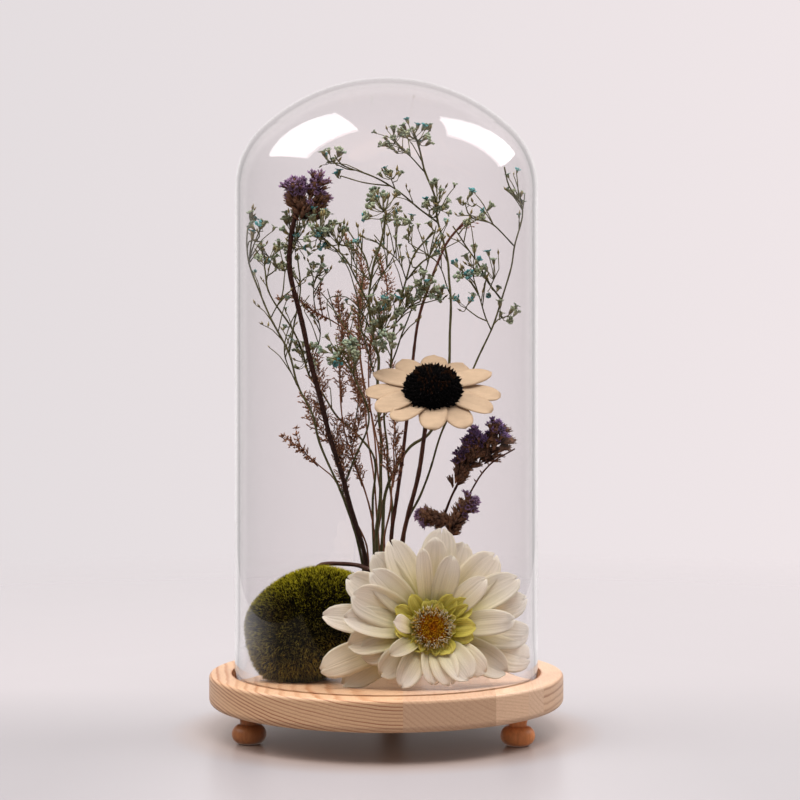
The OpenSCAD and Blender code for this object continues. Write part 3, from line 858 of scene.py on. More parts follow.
# Each petal of the gerbera: its angle, how far it reaches across, width, lift, curl and twist
BACK_PETALS = [
    (-3, 38.5, 11, 6, -4, 0), (17.5, 38.5, 11.5, 8, -6, 6), (32, 38.7, 11, 8, -4, -6),
    (49.7, 38.2, 12.5, 10, -6, 4), (67.3, 36, 11.5, 4, 2, 0), (84.5, 39, 12.5, 8, -2, 0),
    (114, 37.2, 12.5, 8, 2, 14), (128, 36, 11, 6, 4, -8), (146.5, 37.4, 11.5, 10, -6, 0),
    (171, 41.5, 10.5, 4, -4, 10), (196, 44.2, 10, 6, -14, -6), (206, 38, 10, -2, -16, 8),
    (331, 32, 10.5, 12, -12, 0), (341, 41, 11, 6, -10, 0)]
FRONT_PETALS = [
    (6, 30, 9, 30, -16, 8), (43, 26, 8.5, 34, -8, 0), (72, 27, 8.5, 30, -4, 0), (90, 33.5, 9.5, 20, 4, 0),
    (100, 28.5, 6, 34, -4, 20), (137, 31, 11, 24, -6, 0), (157.5, 32.5, 13, 26, -10, -6),
    (176, 33.5, 10.5, 26, -16, 10), (189.5, 32.5, 10, 22, -22, 0), (202, 29, 10, 30, -34, -8),
    (219, 26, 9, 34, -38, 0), (239, 24.3, 8.5, 40, -44, 12), (266, 20, 8, 52, -52, -10),
    (285, 21, 9.5, 56, -54, 6), (303, 22.5, 10.5, 50, -46, 0), (317, 25, 9, 40, -38, 8),
    (177, 14.5, 6, 66, 4, 0), (214, 19, 6, 52, -30, 10)]


def make_gerbera():
    """The cloth gerbera: two rings of cream petals, a lime cup, a tuft and a calyx."""
    rng = random.Random(21)
    cloth = tinted("cream_cloth", roughness=0.75, grain=2600.0, depth=0.04, bumps=0.12, light_through=0.42,
                   pleats=0.10)
    for name, petals, rise in (("back", BACK_PETALS, -0.2), ("front", FRONT_PETALS, 1.5)):
        shape, area = Shape(), 0.0
        for k, (angle, reach, width, lift, curl, twist) in enumerate(petals):
            length = (reach - 4) / max(0.35, math.cos(math.radians(lift + curl * 0.5)))
            usual_tint = cream_tint(rng, green=1.0 if name == "back" else 0.8)
            # Petals low at the left get a darker, browner tint: painted shade
            painted_shade_tint = cream_tint(rng, green=1.2, white=0.88, end=(0.95, 0.85, 0.68))
            area += petal(shape, GERBERA, angle, 4, length, 1.12 * width, lift, curl, rng,
                          twist=twist + rng.uniform(-7, 7), rise=rise + 0.35 * (k % 3),
                          tint=painted_shade_tint if 180 < angle < 225 else usual_tint,
                          cup=rng.uniform(0.04, 0.20), pleat=rng.uniform(0.2, 0.45),
                          notch=rng.uniform(0.02, 0.10), end=rng.uniform(0.32, 0.48))
        piece = shape.piece("gerbera_" + name, cloth, "cream_cloth", "gerbera_petals_" + name)

    green = tinted("green_cloth", roughness=0.7, grain=1800.0, depth=0.10, bumps=0.15, light_through=0.25,
                   pleats=0.2)
    cup = Shape()

    def lime(u, v):
        """Green at the foot and yellower at the tip."""
        return lerp((0.44, 0.34, 0.004), (0.86, 0.74, 0.17), u * 1.15 - 0.2 * abs(v))

    for k in range(17):
        angle = 360 * k / 17 + rng.uniform(-8, 8)
        side = abs(math.cos(math.radians(angle)))
        above = 2.5 if math.sin(math.radians(angle)) > 0.3 else 0
        long = 8.5 + 9.0 * side ** 1.3 + above + rng.uniform(-1.5, 1)
        petal(cup, GERBERA, angle, 5, long - 5, rng.uniform(5.5, 8.5), 25 + rng.uniform(-6, 10),
              rng.uniform(-18, 4), rng, pleat=0.6, pleats=4, cup=rng.uniform(0.05, 0.3), rise=3.6, tint=lime,
              rows=10, columns=9, end=0.5, foot=0.6, thick=0.35, notch=0.10)
    for k in range(22):
        angle = 360 * k / 22 + rng.uniform(-9, 9)
        petal(cup, GERBERA, angle, 5.5, rng.uniform(3.0, 6.0), rng.uniform(3.0, 4.8),
              44 + rng.uniform(-12, 12), -26, rng, pleat=0.4, pleats=3, cup=0.3, rise=4.4, tint=lime,
              rows=8, columns=7, end=0.5, foot=0.7, thick=0.35, notch=0.10)
    seat = [(0, 1.0), (6.4, 1.0), (7.2, 2.2), (6.6, 4.4), (5, 4.8), (0, 4.8)]
    lathe_at(cup, GERBERA, seat, 32, (0.42, 0.42, 0.06))
    cup.piece("gerbera_cup", green, "green_cloth", "gerbera_florets")

    core = Shape()
    lathe_at(core, GERBERA, [(0, 4.9), (5.8, 4.9), (6.3, 6.2), (5.6, 7.2), (3.2, 7.0), (0, 6.6)], 32,
             (0.36, 0.11, 0.004))
    for k in range(900):
        r = 6.6 * math.sqrt(rng.random())
        a = rng.uniform(0, TURN)
        inner = r < 3.9
        foot = Vector((min(r, 6.0) * math.cos(a), min(r, 6.0) * math.sin(a), 6.0))
        lean = 0.10 * r if not inner else 0.02 * r
        way = near(Vector((math.cos(a) * lean, math.sin(a) * lean * 1.1, 1)), rng, 0.22)
        long = rng.uniform(1.8, 2.8) if inner else rng.uniform(2.2, 4.4)
        if inner:
            ginger = lerp((0.62, 0.17, 0.004), (1.0, 0.56, 0.02), (r / 3.6) ** 1.3)
            tint = ((0.22, 0.05, 0.002), shaded(ginger, rng, 0.4))
        elif rng.random() < 0.5:
            tint = ((0.30, 0.15, 0.02), shaded((0.80, 0.50, 0.10), rng, 0.4))
        else:
            tint = ((0.32, 0.22, 0.09), shaded((0.95, 0.84, 0.58), rng, 0.15))
        a_foot = GERBERA @ foot
        tip = GERBERA @ (foot + way * long)
        blade(core, a_foot, tip, 0.46 if inner else 0.34, 0.36, side_ways(tip - a_foot)[0], tint, belly=0.7)
    fringe = tinted("fringe", roughness=0.85, grain=2000.0, depth=0.3, gloss=0.03)
    core.piece("gerbera_core_tuft", fringe, "fringe", "gerbera_core")

    def leaf(u, v):
        """Dark green at the foot and paler at the tip."""
        return lerp((0.22, 0.28, 0.08), (0.36, 0.42, 0.15), u)

    calyx = Shape()
    outline = [(0, -11.4), (1.7, -11.4), (1.9, -9), (2.6, -6.5), (3.9, -4.2), (5.0, -2.2), (5.0, -0.9),
               (0, -0.9)]
    lathe_at(calyx, GERBERA, outline, 40, (0.26, 0.32, 0.10))
    for k in range(18):
        angle = 20 * k + rng.uniform(-5, 5)
        petal(calyx, GERBERA, angle, 2.6, rng.uniform(6.5, 8.5), 2.6, 60, -26, rng, pleat=0.1, pleats=1,
              rise=-8.4, tint=leaf, rows=7, columns=5, end=0.8, foot=0.7, thick=0.35)
    calyx.piece("gerbera_sepals", green, "green_cloth", "gerbera_calyx")


DAISY = Matrix.Translation((18, -14, 135)) @ Matrix.Rotation(math.radians(33.6), 4, "X")


def make_daisy():
    """The wood-shaving daisy: two layers of six petals and a dark spiky cone."""
    rng = random.Random(8)
    shaving = tinted("shaving", roughness=0.7, grain=900.0, depth=0.12, bumps=0.15, light_through=0.12,
                     stretch=(0.35, 0.35, 1))

    def tint(u, v):
        """Pale wood with darker edges."""
        edge = max(0, abs(v) - 0.88) * 3 + max(0, u - 0.96) * 6
        return lerp((0.60, 0.425, 0.28), (0.36, 0.21, 0.10), edge)

    for name, low, turn in (("lower", 0.25, 0), ("upper", 0.95, 30)):
        shape = Shape()
        for k in range(6):
            angle = turn + 60 * k + rng.uniform(-3, 3)
            petal(shape, DAISY, angle, 2.5, rng.uniform(23.2, 24.0), 11.0, -1 + rng.uniform(-3, 3),
                  rng.uniform(-9, 0), rng, thick=0.45, cup=rng.uniform(-0.02, 0.07), pleat=0.04, pleats=2,
                  end=0.45, foot=0.45, notch=0.0, rise=low, tint=tint, columns=11)
        disc = [(0, low - 0.25), (5.8, low - 0.25), (5.8, low + 0.25), (0, low + 0.25)]
        lathe_at(shape, DAISY, disc, 32, (0.8, 0.6, 0.4))
        shape.piece("daisy_" + name, shaving, "shaving", "daisy_petals_" + name)

    cone = Shape()
    spot = DAISY @ Matrix.Translation((0, -3.4, -0.3)) @ Matrix.Rotation(math.radians(7), 4, "X")
    dome = [(0, 1.2), (10.2, 1.2)]
    dome += [(10.4 * math.cos(a), 1.4 + 10.0 * math.sin(a)) for a in np.linspace(0.15, 1.45, 9)]
    lathe_at(cone, spot, dome + [(0, 11.4)], 40, (0.002, 0.0015, 0.0015))
    spikes, golden_angle = 340, 2.39996
    for k in range(spikes):
        a = k * golden_angle
        rise = (k + 0.5) / spikes
        r = 10.2 * math.sqrt(1 - rise * rise)
        out = Vector((math.cos(a) * r, math.sin(a) * r, 1.4 + 9.8 * rise))
        way = near(Vector((out.x, out.y, (out.z - 1) * 1.2 + 0.4)), rng, 0.16)
        foot = spot @ (out - way * 0.8)
        tip = spot @ (out + way * rng.uniform(1.2, 2.6) * (1.0 if rise < 0.7 else 0.8))
        brown = (0.022, 0.008, 0.003) if rise > 0.62 and rng.random() < 0.4 else (0.0035, 0.0025, 0.0025)
        blade(cone, foot, tip, 2.1, 1.1, side_ways(tip - foot)[0], ((0.001, 0.001, 0.001), brown), belly=0.35)
    black = tinted("dark_cone", roughness=0.9, grain=2000.0, depth=0.3, gloss=0.03)
    cone.piece("daisy_cone_spikes", black, "dark_cone", "daisy_cone")


make_gerbera()
make_daisy()


# ---------------------------------------------------------------- stems and sprigs

def stem(shape, route, r_foot, r_tip, colour, rng, sides=7, step=2.0, wobble=0.22):
    """A smooth stem along a route, tapering, a little uneven. Returns its points."""
    points = smooth_route(route, step)
    n = len(points)
    turns = [rng.uniform(0.25, 0.75) for _ in range(4)]
    starts = [any_angle(rng) for _ in range(4)]
    for i in range(1, n - 1):
        x = math.sin(i * turns[0] + starts[0]) + math.sin(i * turns[1] * 0.5 + starts[1])
        y = math.sin(i * turns[2] + starts[2]) + math.sin(i * turns[3] * 0.5 + starts[3])
        points[i] = points[i] + Vector((x, y, 0)) * wobble * min(1, i / 4, (n - 1 - i) / 4)
    radii = [(r_foot + (r_tip - r_foot) * i / (n - 1)) * rng.uniform(0.9, 1.1) for i in range(n)]
    foot, tip = colour if not isinstance(colour[0], (int, float)) else (colour, colour)
    tints = [shaded(lerp(foot, tip, i / (n - 1)), rng, 0.2) for i in range(n)]
    tube(shape, points, radii, sides, tints)
    return points


def floret(shape, foot, way, size, rng, calyx, lobe, open_up=0.75):
    """A small papery trumpet in its calyx."""
    way = Vector(way).normalized()
    long = 2.7 * size
    neck = foot + way * long
    dark = shaded(calyx, rng, 0.3)
    pale = shaded(lobe, rng, 0.25)
    tube(shape, [foot, foot + way * long * 0.55, neck], [0.28 * size, 0.80 * size, 0.95 * size], 5,
         [dark, dark, lerp(dark, pale, 0.5)])
    u, v = side_ways(way)
    turn = any_angle(rng)
    count = rng.choice((4, 5, 5))
    for k in range(count):
        a = turn + TURN * k / count + rng.uniform(-0.25, 0.25)
        out = around(u, v, a)
        lean = (way * (1.15 - open_up) + out * open_up).normalized()
        start = neck + out * 0.35 * size - way * 0.5 * size
        end = start + lean * rng.uniform(1.6, 2.4) * size
        blade(shape, start, end, 2.1 * size, 0.40 * size, out.cross(way),
              (lerp(dark, pale, 0.6), pale), belly=0.62)
    for k in range(2):
        a = any_angle(rng)
        out = around(u, v, a)
        start = foot - way * 0.3
        end = start + (way * 2.2 + out * 0.9) * size * rng.uniform(0.7, 1.1)
        blade(shape, start, end, 0.9 * size, 0.3 * size, out.cross(way),
              (dark, shaded(calyx, rng, 0.4)), belly=0.5)


def bud(shape, foot, way, size, rng, colour):
    """A closed pointed bud."""
    way = Vector(way).normalized()
    side = side_ways(way)[0]
    tip = foot + way * 3.4 * size
    tints = (shaded(colour, rng, 0.3), shaded(colour, rng, 0.4))
    blade(shape, foot - way * 0.2, tip, 1.3 * size, 1.15 * size, side, tints)


OLIVE = (0.140, 0.120, 0.048)
DARK_OLIVE = (0.050, 0.048, 0.026)
SAGE = (0.345, 0.380, 0.245)
TEAL = (0.075, 0.330, 0.360)
CALYX = (0.250, 0.185, 0.075)
RUST = (0.400, 0.180, 0.095)
UMBER = (0.110, 0.040, 0.022)


def nearest(points, target, below=3.0):
    """The stem point closest to a target, taken from lower down."""
    best = None
    for p in points:
        if p.z > target.z - below:
            continue
        d = (p - target).length
        if best is None or d < best[0]:
            best = (d, p)
    return best[1] if best else min(points, key=lambda p: (p - target).length)


def cluster(shape, points, box, count, rng, teal=0.3, buds=0.33, size=1.0, colour=OLIVE):
    """A loose head of florets in a box (x low, x high, z low, z high, y), joined on by thin twigs."""
    x1, x2, z1, z2, y = box
    middle = Vector(((x1 + x2) / 2, y, z1 + (z2 - z1) * 0.35))
    root = nearest(points, middle)
    depth = 0.5 * min(x2 - x1, z2 - z1)
    bow = root.lerp(middle, 0.5) + Vector((rng.gauss(0, 0.8), rng.gauss(0, 0.8), rng.gauss(0, 0.5)))
    twig = stem(shape, [root, bow, middle], 0.32, 0.24, colour, rng, sides=5, step=2.5, wobble=0.1)
    heads = []
    for k in range(count):
        spot = Vector((x1 + (x2 - x1) * (0.1 + 0.8 * rng.random()), y + rng.uniform(-depth, depth),
                       z1 + (z2 - z1) * (0.05 + 0.80 * rng.random())))
        heads.append(inside(spot, 4.5))
    for spot in heads:
        fork = min(twig + [middle], key=lambda p: (p - spot).length + rng.uniform(0, 2))
        way = (spot - fork) + Vector((0, 0, 2.5)) + shake(rng, 1.2)
        if (spot - fork).length > 1.0:
            bend = fork.lerp(spot, 0.5) + Vector((rng.gauss(0, 0.4), rng.gauss(0, 0.4), -0.5))
            tube(shape, [fork, bend, spot], [0.2, 0.17, 0.17], 4, shaded(colour, rng))
        k = size * rng.uniform(0.7, 1.05)
        if rng.random() < buds:
            bud(shape, spot, way, k, rng, CALYX if rng.random() < 0.6 else OLIVE)
        else:
            lobe = TEAL if rng.random() < teal else lerp(SAGE, TEAL, rng.uniform(0, 0.3) ** 2 * 3)
            calyx = lerp(CALYX, SAGE, rng.uniform(0, 0.5))
            floret(shape, spot, way, k * 1.05, rng, calyx, lobe, rng.uniform(0.5, 0.85))
    return heads


def wisps(shape, points, count, rng, colour=OLIVE, lowest=120.0, reach=(6, 15)):
    """Thin side twigs with a bud or two."""
    upper = [i for i, p in enumerate(points[:-3]) if p.z > lowest]
    for _ in range(count if upper else 0):
        i = rng.choice(upper)
        p = points[i]
        ahead = (points[i + 2] - p).normalized()
        out = Vector((rng.choice((-1, 1)) * rng.uniform(0.5, 1), rng.uniform(-0.6, 0.6), 0.1))
        way = (ahead + out * 0.75).normalized()
        long = rng.uniform(*reach)
        end = inside(p + way * long, 5)
        bend = p.lerp(end, 0.55) + Vector((0, 0, 0.1 * long))
        twig = stem(shape, [p, bend, end], 0.24, 0.17, colour, rng, sides=4, step=3, wobble=0.08)
        for j in range(rng.choice((1, 2, 2, 3))):
            q = twig[-1] if j == 0 else rng.choice(twig[1:])
            turned = way + Vector((rng.gauss(0, .4), rng.gauss(0, .4), 0.5))
            if rng.random() < 0.22:
                size = rng.uniform(0.6, 0.8)
                lobe = lerp(SAGE, TEAL, rng.random() ** 2)
                floret(shape, q, turned, size, rng, lerp(CALYX, SAGE, 0.4), lobe)
            else:
                bud(shape, q, turned, rng.uniform(0.5, 0.9), rng, CALYX)


def limonium(name, seed, stems, clusters, colour=OLIVE, twigs=5, lowest=120.0):
    """A sprig of limonium: stems are (route, foot radius, tip radius); clusters are (box, count, teal)."""
    rng = random.Random(seed)
    shape, points = Shape(), []
    for route, r1, r2 in stems:
        points.append(stem(shape, route, r1, r2, (lerp(colour, DARK_OLIVE, 0.6), colour), rng))
    every = [p for line in points for p in line]
    for box, count, teal in clusters:
        cluster(shape, every, box, count, rng, teal, colour=colour)
    for line in points:
        wisps(shape, line, twigs, rng, colour, lowest)
    shape.piece(name + "_sprig", LIMONIUM, "limonium", name)


LIMONIUM = tinted("limonium", roughness=0.75, grain=1500.0, depth=0.35, bumps=0.3)

LEFT_ROUTE = [(-7, 15, 30), (-10, 12, 67), (-18, 10, 93), (-27, 8, 114), (-30, 7, 125), (-36, 6, 137),
              (-39, 4, 150), (-46, 2, 164), (-51, 1, 175), (-55, 0, 185), (-56, 0, 193), (-55.5, 0, 199)]
BACK_LEFT_ROUTE = [(-6, 20, 30), (-5.5, 19.5, 90), (-5, 18, 107), (-13, 19, 118), (-20, 18, 124),
                   (-26, 18, 133), (-32, 17, 141), (-35, 16, 152), (-39, 15, 161), (-48, 14, 175),
                   (-50, 14, 185)]
MIDDLE_ROUTE = [(-4, 13, 30), (-4, 13, 72), (-3, 12, 91), (-2, 11, 109), (-3, 9, 125), (-4, 6, 139),
                (-3, 4, 148), (-5, 2, 156), (-7, -2, 169), (-6, -5, 178), (-5, -7, 185), (-1, -9, 197),
                (0, -11, 205)]
CENTRE_ROUTE = [(3, 18, 30), (2, 21, 72), (2, 22, 90), (0, 20, 110), (-1, 17, 125), (2, 14, 146),
                (3, 10, 161), (8, 8, 179), (11, 6, 189), (19, 4, 198)]
TALL_ROUTE = [(-1, 17, 30), (-2, 16, 73), (-1, 18, 90), (3, 20, 102), (10, 22, 112), (17, 24, 117),
              (24, 26, 131), (26, 27, 154), (26, 27, 185), (24, 26, 193), (21, 25, 204), (20, 24, 214),
              (16, 23, 224), (14, 22, 233), (11, 21, 242)]
RIGHT_ROUTE = [(6, 13, 30), (7, 10, 78), (14, 6, 93), (21, 5, 115), (35, 5, 144), (42, 5, 159), (46, 4, 171),
               (50, 2, 184), (51, 0, 192), (54, -3, 206), (48, -8, 215), (46, -12, 222)]

limonium("limonium_left", 31, [
    (LEFT_ROUTE, 0.6, 0.35),
    ([(-55, 0, 185), (-53, -3, 191), (-50, -5, 198)], 0.35, 0.25),
    ([(-39, 4, 150), (-37, 8, 161), (-35, 8, 174), (-36, 9, 190)], 0.4, 0.3),
    ([(-18, 10, 93), (-14, 12, 105), (-8, 7, 119), (-8, 0, 129), (-15, -8, 146)], 0.45, 0.35),
    ([(-46, 2, 164), (-42, 3, 173), (-40, 4, 184), (-36, 5, 194)], 0.28, 0.2),
    ([(-36, 6, 137), (-41, 6, 150), (-38, 7, 163), (-31, 7, 173)], 0.28, 0.2)], [
    ((-56.5, -53, 200, 210, 0), 7, 0.4), ((-52.6, -47.8, 196, 200, -5), 4, 0.3),
    ((-56.5, -53, 193, 196, 0), 3, 0.3), ((-41, -31, 188, 209, 7), 34, 0.15),
    ((-34, -26, 179, 185, 7), 3, 0.1), ((-24.4, -11.5, 145.5, 157, -8), 26, 0.25)], twigs=4, lowest=140)
limonium("limonium_back_left", 32, [
    (BACK_LEFT_ROUTE, 0.6, 0.35),
    ([(-32, 17, 141), (-27, 15, 158), (-30, 13, 176), (-26, 11, 187)], 0.3, 0.2),
    ([(-13, 19, 118), (-12, 17, 140), (-19, 15, 160), (-24, 13, 176)], 0.32, 0.2)], [
    ((-53.7, -42, 185.7, 194.6, 14), 20, 0.15), ((-47.2, -41.6, 181.6, 189.7, 14), 6, 0.2),
    ((-37.6, -29.1, 142.4, 154.6, 16), 17, 0.25), ((-27.5, -22, 181, 188, 12), 5, 0.1)], twigs=6)
limonium("limonium_middle", 33, [
    (MIDDLE_ROUTE, 0.95, 0.4),
    ([(-6, -5, 178), (-9, -2, 188), (-15, 0, 198)], 0.4, 0.3),
    ([(-7, -2, 169), (-16, -4, 186), (-26, -6, 196)], 0.4, 0.3),
    ([(-5, 2, 156), (-10, 3, 166), (-16, 2, 172), (-23, 1, 171), (-22, 0, 160)], 0.26, 0.18),
    ([(-7, -2, 169), (-2, -1, 180), (4, 1, 191), (4, 2, 202)], 0.3, 0.2),
    ([(-4, 6, 139), (-10, 4, 160), (-14, 2, 180), (-21, 0, 192)], 0.3, 0.2),
    ([(-6, -5, 178), (-12, -3, 184), (-13, -2, 194)], 0.26, 0.18)], [
    ((-7.5, 5.8, 200, 213.5, -10), 28, 0.2), ((-31, -22.4, 188, 210.4, -4), 30, 0.15),
    ((-24, -13, 187, 203, -3), 20, 0.2), ((-1.7, 4.6, 166, 172.5, -6), 6, 0.9),
    ((-7, 3, 150, 174, -6), 42, 0.1), ((2, 8, 199, 206, 2), 5, 0.2)], twigs=5, lowest=140)
limonium("limonium_centre", 34, [
    (CENTRE_ROUTE, 0.6, 0.35), ([(2, 14, 146), (9, 12, 165), (16, 10, 184), (20, 8, 201)], 0.34, 0.25),
    ([(3, 10, 161), (12, 8, 171), (22, 6, 173)], 0.26, 0.2),
    ([(8, 8, 179), (5, 7, 186), (0, 6, 191), (-5, 4, 197)], 0.26, 0.2),
    ([(8, 8, 179), (15, 6, 187), (30, 4, 195)], 0.26, 0.2)], [
    ((19, 24, 169, 176, 6), 6, 0.1), ((8, 12, 193, 199, 5), 4, 0.1),
    ((12.2, 19.8, 171, 182.5, 4), 16, 0.05), ((4.6, 11.4, 164, 178, 6), 16, 0.1),
    ((8, 12, 186, 190, 5), 3, 0.2), ((17, 21, 197, 202, 4), 4, 0.2)], twigs=7, lowest=130)
limonium("limonium_tall", 35, [
    (TALL_ROUTE, 0.8, 0.4),
    ([(21, 25, 204), (14, 22, 209), (-2, 16, 220), (-18, 10, 226), (-21, 9, 230)], 0.4, 0.3),
    ([(16, 23, 224), (11, 24, 230), (3, 25, 239)], 0.32, 0.25),
    ([(26, 27, 175), (20, 22, 188), (9, 18, 195)], 0.28, 0.2)], [
    ((-1.6, 8, 232, 245.5, 22), 17, 0.25), ((6, 17, 234, 246.5, 20), 17, 0.25),
    ((15.6, 20.1, 241, 244.5, 20), 3, 0.0), ((-27.6, -16.7, 225, 231, 9), 10, 0.15),
    ((-20, -17, 220, 223.5, 10), 2, 1.0), ((-3, 6.6, 218, 225, 14), 8, 0.3),
    ((15.6, 25.4, 205, 221, 22), 22, 0.1), ((7.9, 11.5, 203, 206.6, 20), 3, 0.2)], twigs=3, lowest=180)
limonium("limonium_right", 36, [
    (RIGHT_ROUTE, 0.55, 0.3),
    ([(46, 4, 171), (40, 0, 179), (36, -4, 185), (26, -10, 199)], 0.38, 0.28),
    ([(51, 0, 192), (42, -6, 200), (34, -9, 202)], 0.32, 0.25),
    ([(54, -3, 206), (55, -2, 213)], 0.25, 0.2),
    ([(42, 5, 159), (38, 3, 168), (34, 0, 182)], 0.3, 0.22)], [
    ((26.5, 35.1, 206, 212, -10), 5, 0.3), ((29, 41.7, 199, 206, -10), 4, 0.0),
    ((31.6, 37.2, 179, 192.5, -4), 9, 0.2), ((26.8, 35.6, 178, 185.4, -5), 6, 0.5),
    ((39.4, 45.8, 172, 191, -1), 9, 0.2), ((43, 53.5, 162, 169, 6), 8, 0.1),
    ((26.4, 36.8, 165, 171.5, -2), 5, 0.5)], twigs=4, lowest=150)


def caspia(name, seed, route, plumes, r_foot=0.45, extra=()):
    """A sprig of caspia. plumes are (route, how long its branchlets are)."""
    rng = random.Random(seed)
    shape = Shape()
    stem(shape, route, r_foot, 0.25, (UMBER, RUST), rng)
    for line in extra:
        stem(shape, line, 0.32, 0.22, (UMBER, RUST), rng, sides=5)
    for line, long in plumes:
        points = stem(shape, line, 0.28, 0.14, (UMBER, RUST), rng, sides=4, step=1.7, wobble=0.15)
        n = len(points)
        for i in range(1, n):
            t = i / n
            ahead = (points[i] - points[i - 1]).normalized()
            for _ in range(4):
                a = any_angle(rng)
                u, v = side_ways(ahead)
                out = around(u, v, a)
                out.y *= 0.8
                belly = math.sin(math.pi * min(1, 0.15 + 0.85 * t))
                reach = long * (0.35 + 0.9 * belly) * rng.uniform(0.4, 1.0)
                way = (ahead * 0.9 + out * 0.8).normalized()
                end = inside(points[i] + way * reach, 4)
                bow = points[i].lerp(end, 0.5) + ahead * 0.2
                tube(shape, [points[i], bow, end], [0.14, 0.12, 0.09], 3, shaded(RUST, rng))
                bracts = max(3, int(reach / 0.62))
                for b in range(bracts):
                    q = points[i].lerp(end, (b + 0.8) / bracts)
                    side = shake(rng, 1).normalized()
                    tip = q + (way * 0.9 + side * 0.75).normalized() * rng.uniform(1.1, 2.0)
                    colour = shaded(lerp(RUST, (0.52, 0.28, 0.16), rng.random()), rng, 0.3)
                    blade(shape, q, tip, 0.70, 0.45, side_ways(way)[0], (shaded(UMBER, rng), colour))
    shape.piece(name + "_sprig", CASPIA, "caspia", name)


CASPIA = tinted("caspia", roughness=0.85, grain=1800.0, depth=0.3, bumps=0.3)

caspia("caspia_left", 41, [(-6, 17.5, 30), (-8, 15, 70), (-14, 14, 85), (-18, 13, 103), (-25, 12, 123),
                           (-29, 12, 137), (-32, 12, 155)], [
    ([(-15, 14, 90), (-17, 12, 98), (-18, 11, 112)], 5),
    ([(-17, 13, 100), (-20, 12, 110), (-20, 12, 122)], 6),
    ([(-24, 12, 120), (-27, 12, 132), (-28, 11, 148)], 6),
    ([(-20, 13, 110), (-27, 12, 120), (-33, 12, 132)], 5),
    ([(-28, 16, 104), (-34, 16, 110), (-42, 16, 116)], 2.5),
    ([(-33, 16, 109), (-36, 15, 114), (-37, 15, 119)], 1.5)],
    extra=[[(-14, 14, 85), (-21, 15, 99), (-27, 16, 104), (-41, 16, 116)]])
caspia("caspia_long", 42, [(-3, 23, 30), (-4, 23.5, 72), (-2.5, 21.5, 90), (-4, 20.5, 115), (-8, 19, 133),
                           (-13, 16, 156), (-22, 14, 163), (-30, 12, 167), (-37, 11.5, 172),
                           (-44, 10.5, 172)], [
    ([(-22, 14, 163), (-30, 12, 167), (-37, 11.5, 172), (-43, 10.5, 172)], 2.2),
    ([(-14, 16, 156), (-19, 15, 164), (-20, 15, 174)], 3.0),
    ([(-26, 13, 165), (-27, 13, 171), (-27, 13, 177)], 1.8),
    ([(-6, 19, 125), (-12, 17, 135), (-13, 16, 150)], 4.5)])
caspia("caspia_middle", 43, [(-3, 19, 30), (-5, 17, 78), (-12, 14, 103), (-17, 12, 119), (-19, 8, 139),
                             (-18, 6, 161), (-20, 5, 173)], [
    ([(-10, 15, 96), (-14, 14, 110), (-15, 12, 124)], 5.5),
    ([(-18, 10, 130), (-19, 8, 145), (-17, 6, 162), (-19, 5, 170)], 4.5),
    ([(-14, 13, 112), (-11, 12, 124), (-10, 12, 138)], 4.5)])
caspia("caspia_back", 44, [(1, 23, 30), (-2, 26, 82), (-5, 25.5, 115), (-8, 26, 141), (-6, 27, 157),
                           (0, 29, 176), (-4, 30, 193)], [
    ([(-7, 26, 140), (-6, 27, 157), (0, 29, 176), (-4, 30, 192)], 4.5),
    ([(-5, 26, 120), (0, 27, 132), (2, 27, 146)], 4),
    ([(-8, 26, 150), (-12, 27, 164), (-9, 28, 180)], 3.5)])
caspia("caspia_rear", 45, [(-1, 26, 30), (-4, 28, 82), (-7, 29, 110), (-12, 33, 160), (-10, 35, 185),
                           (-18, 36, 200)], [
    ([(-11, 32, 150), (-12, 34, 168), (-10, 35, 185), (-17, 36, 199)], 4),
    ([(-9, 30, 128), (-15, 31, 142), (-16, 32, 158)], 4)])
caspia("caspia_right", 46, [(-1, 13, 30), (-1, 12, 74), (2, 8, 91), (3, 5, 105), (3, 2, 122), (2, 1, 129)], [
    ([(2.5, 7, 96), (4, 5, 107), (3, 2, 124)], 4),
    ([(2.5, 6, 100), (-1, 5, 110), (-2, 4, 118)], 3)], r_foot=0.6)


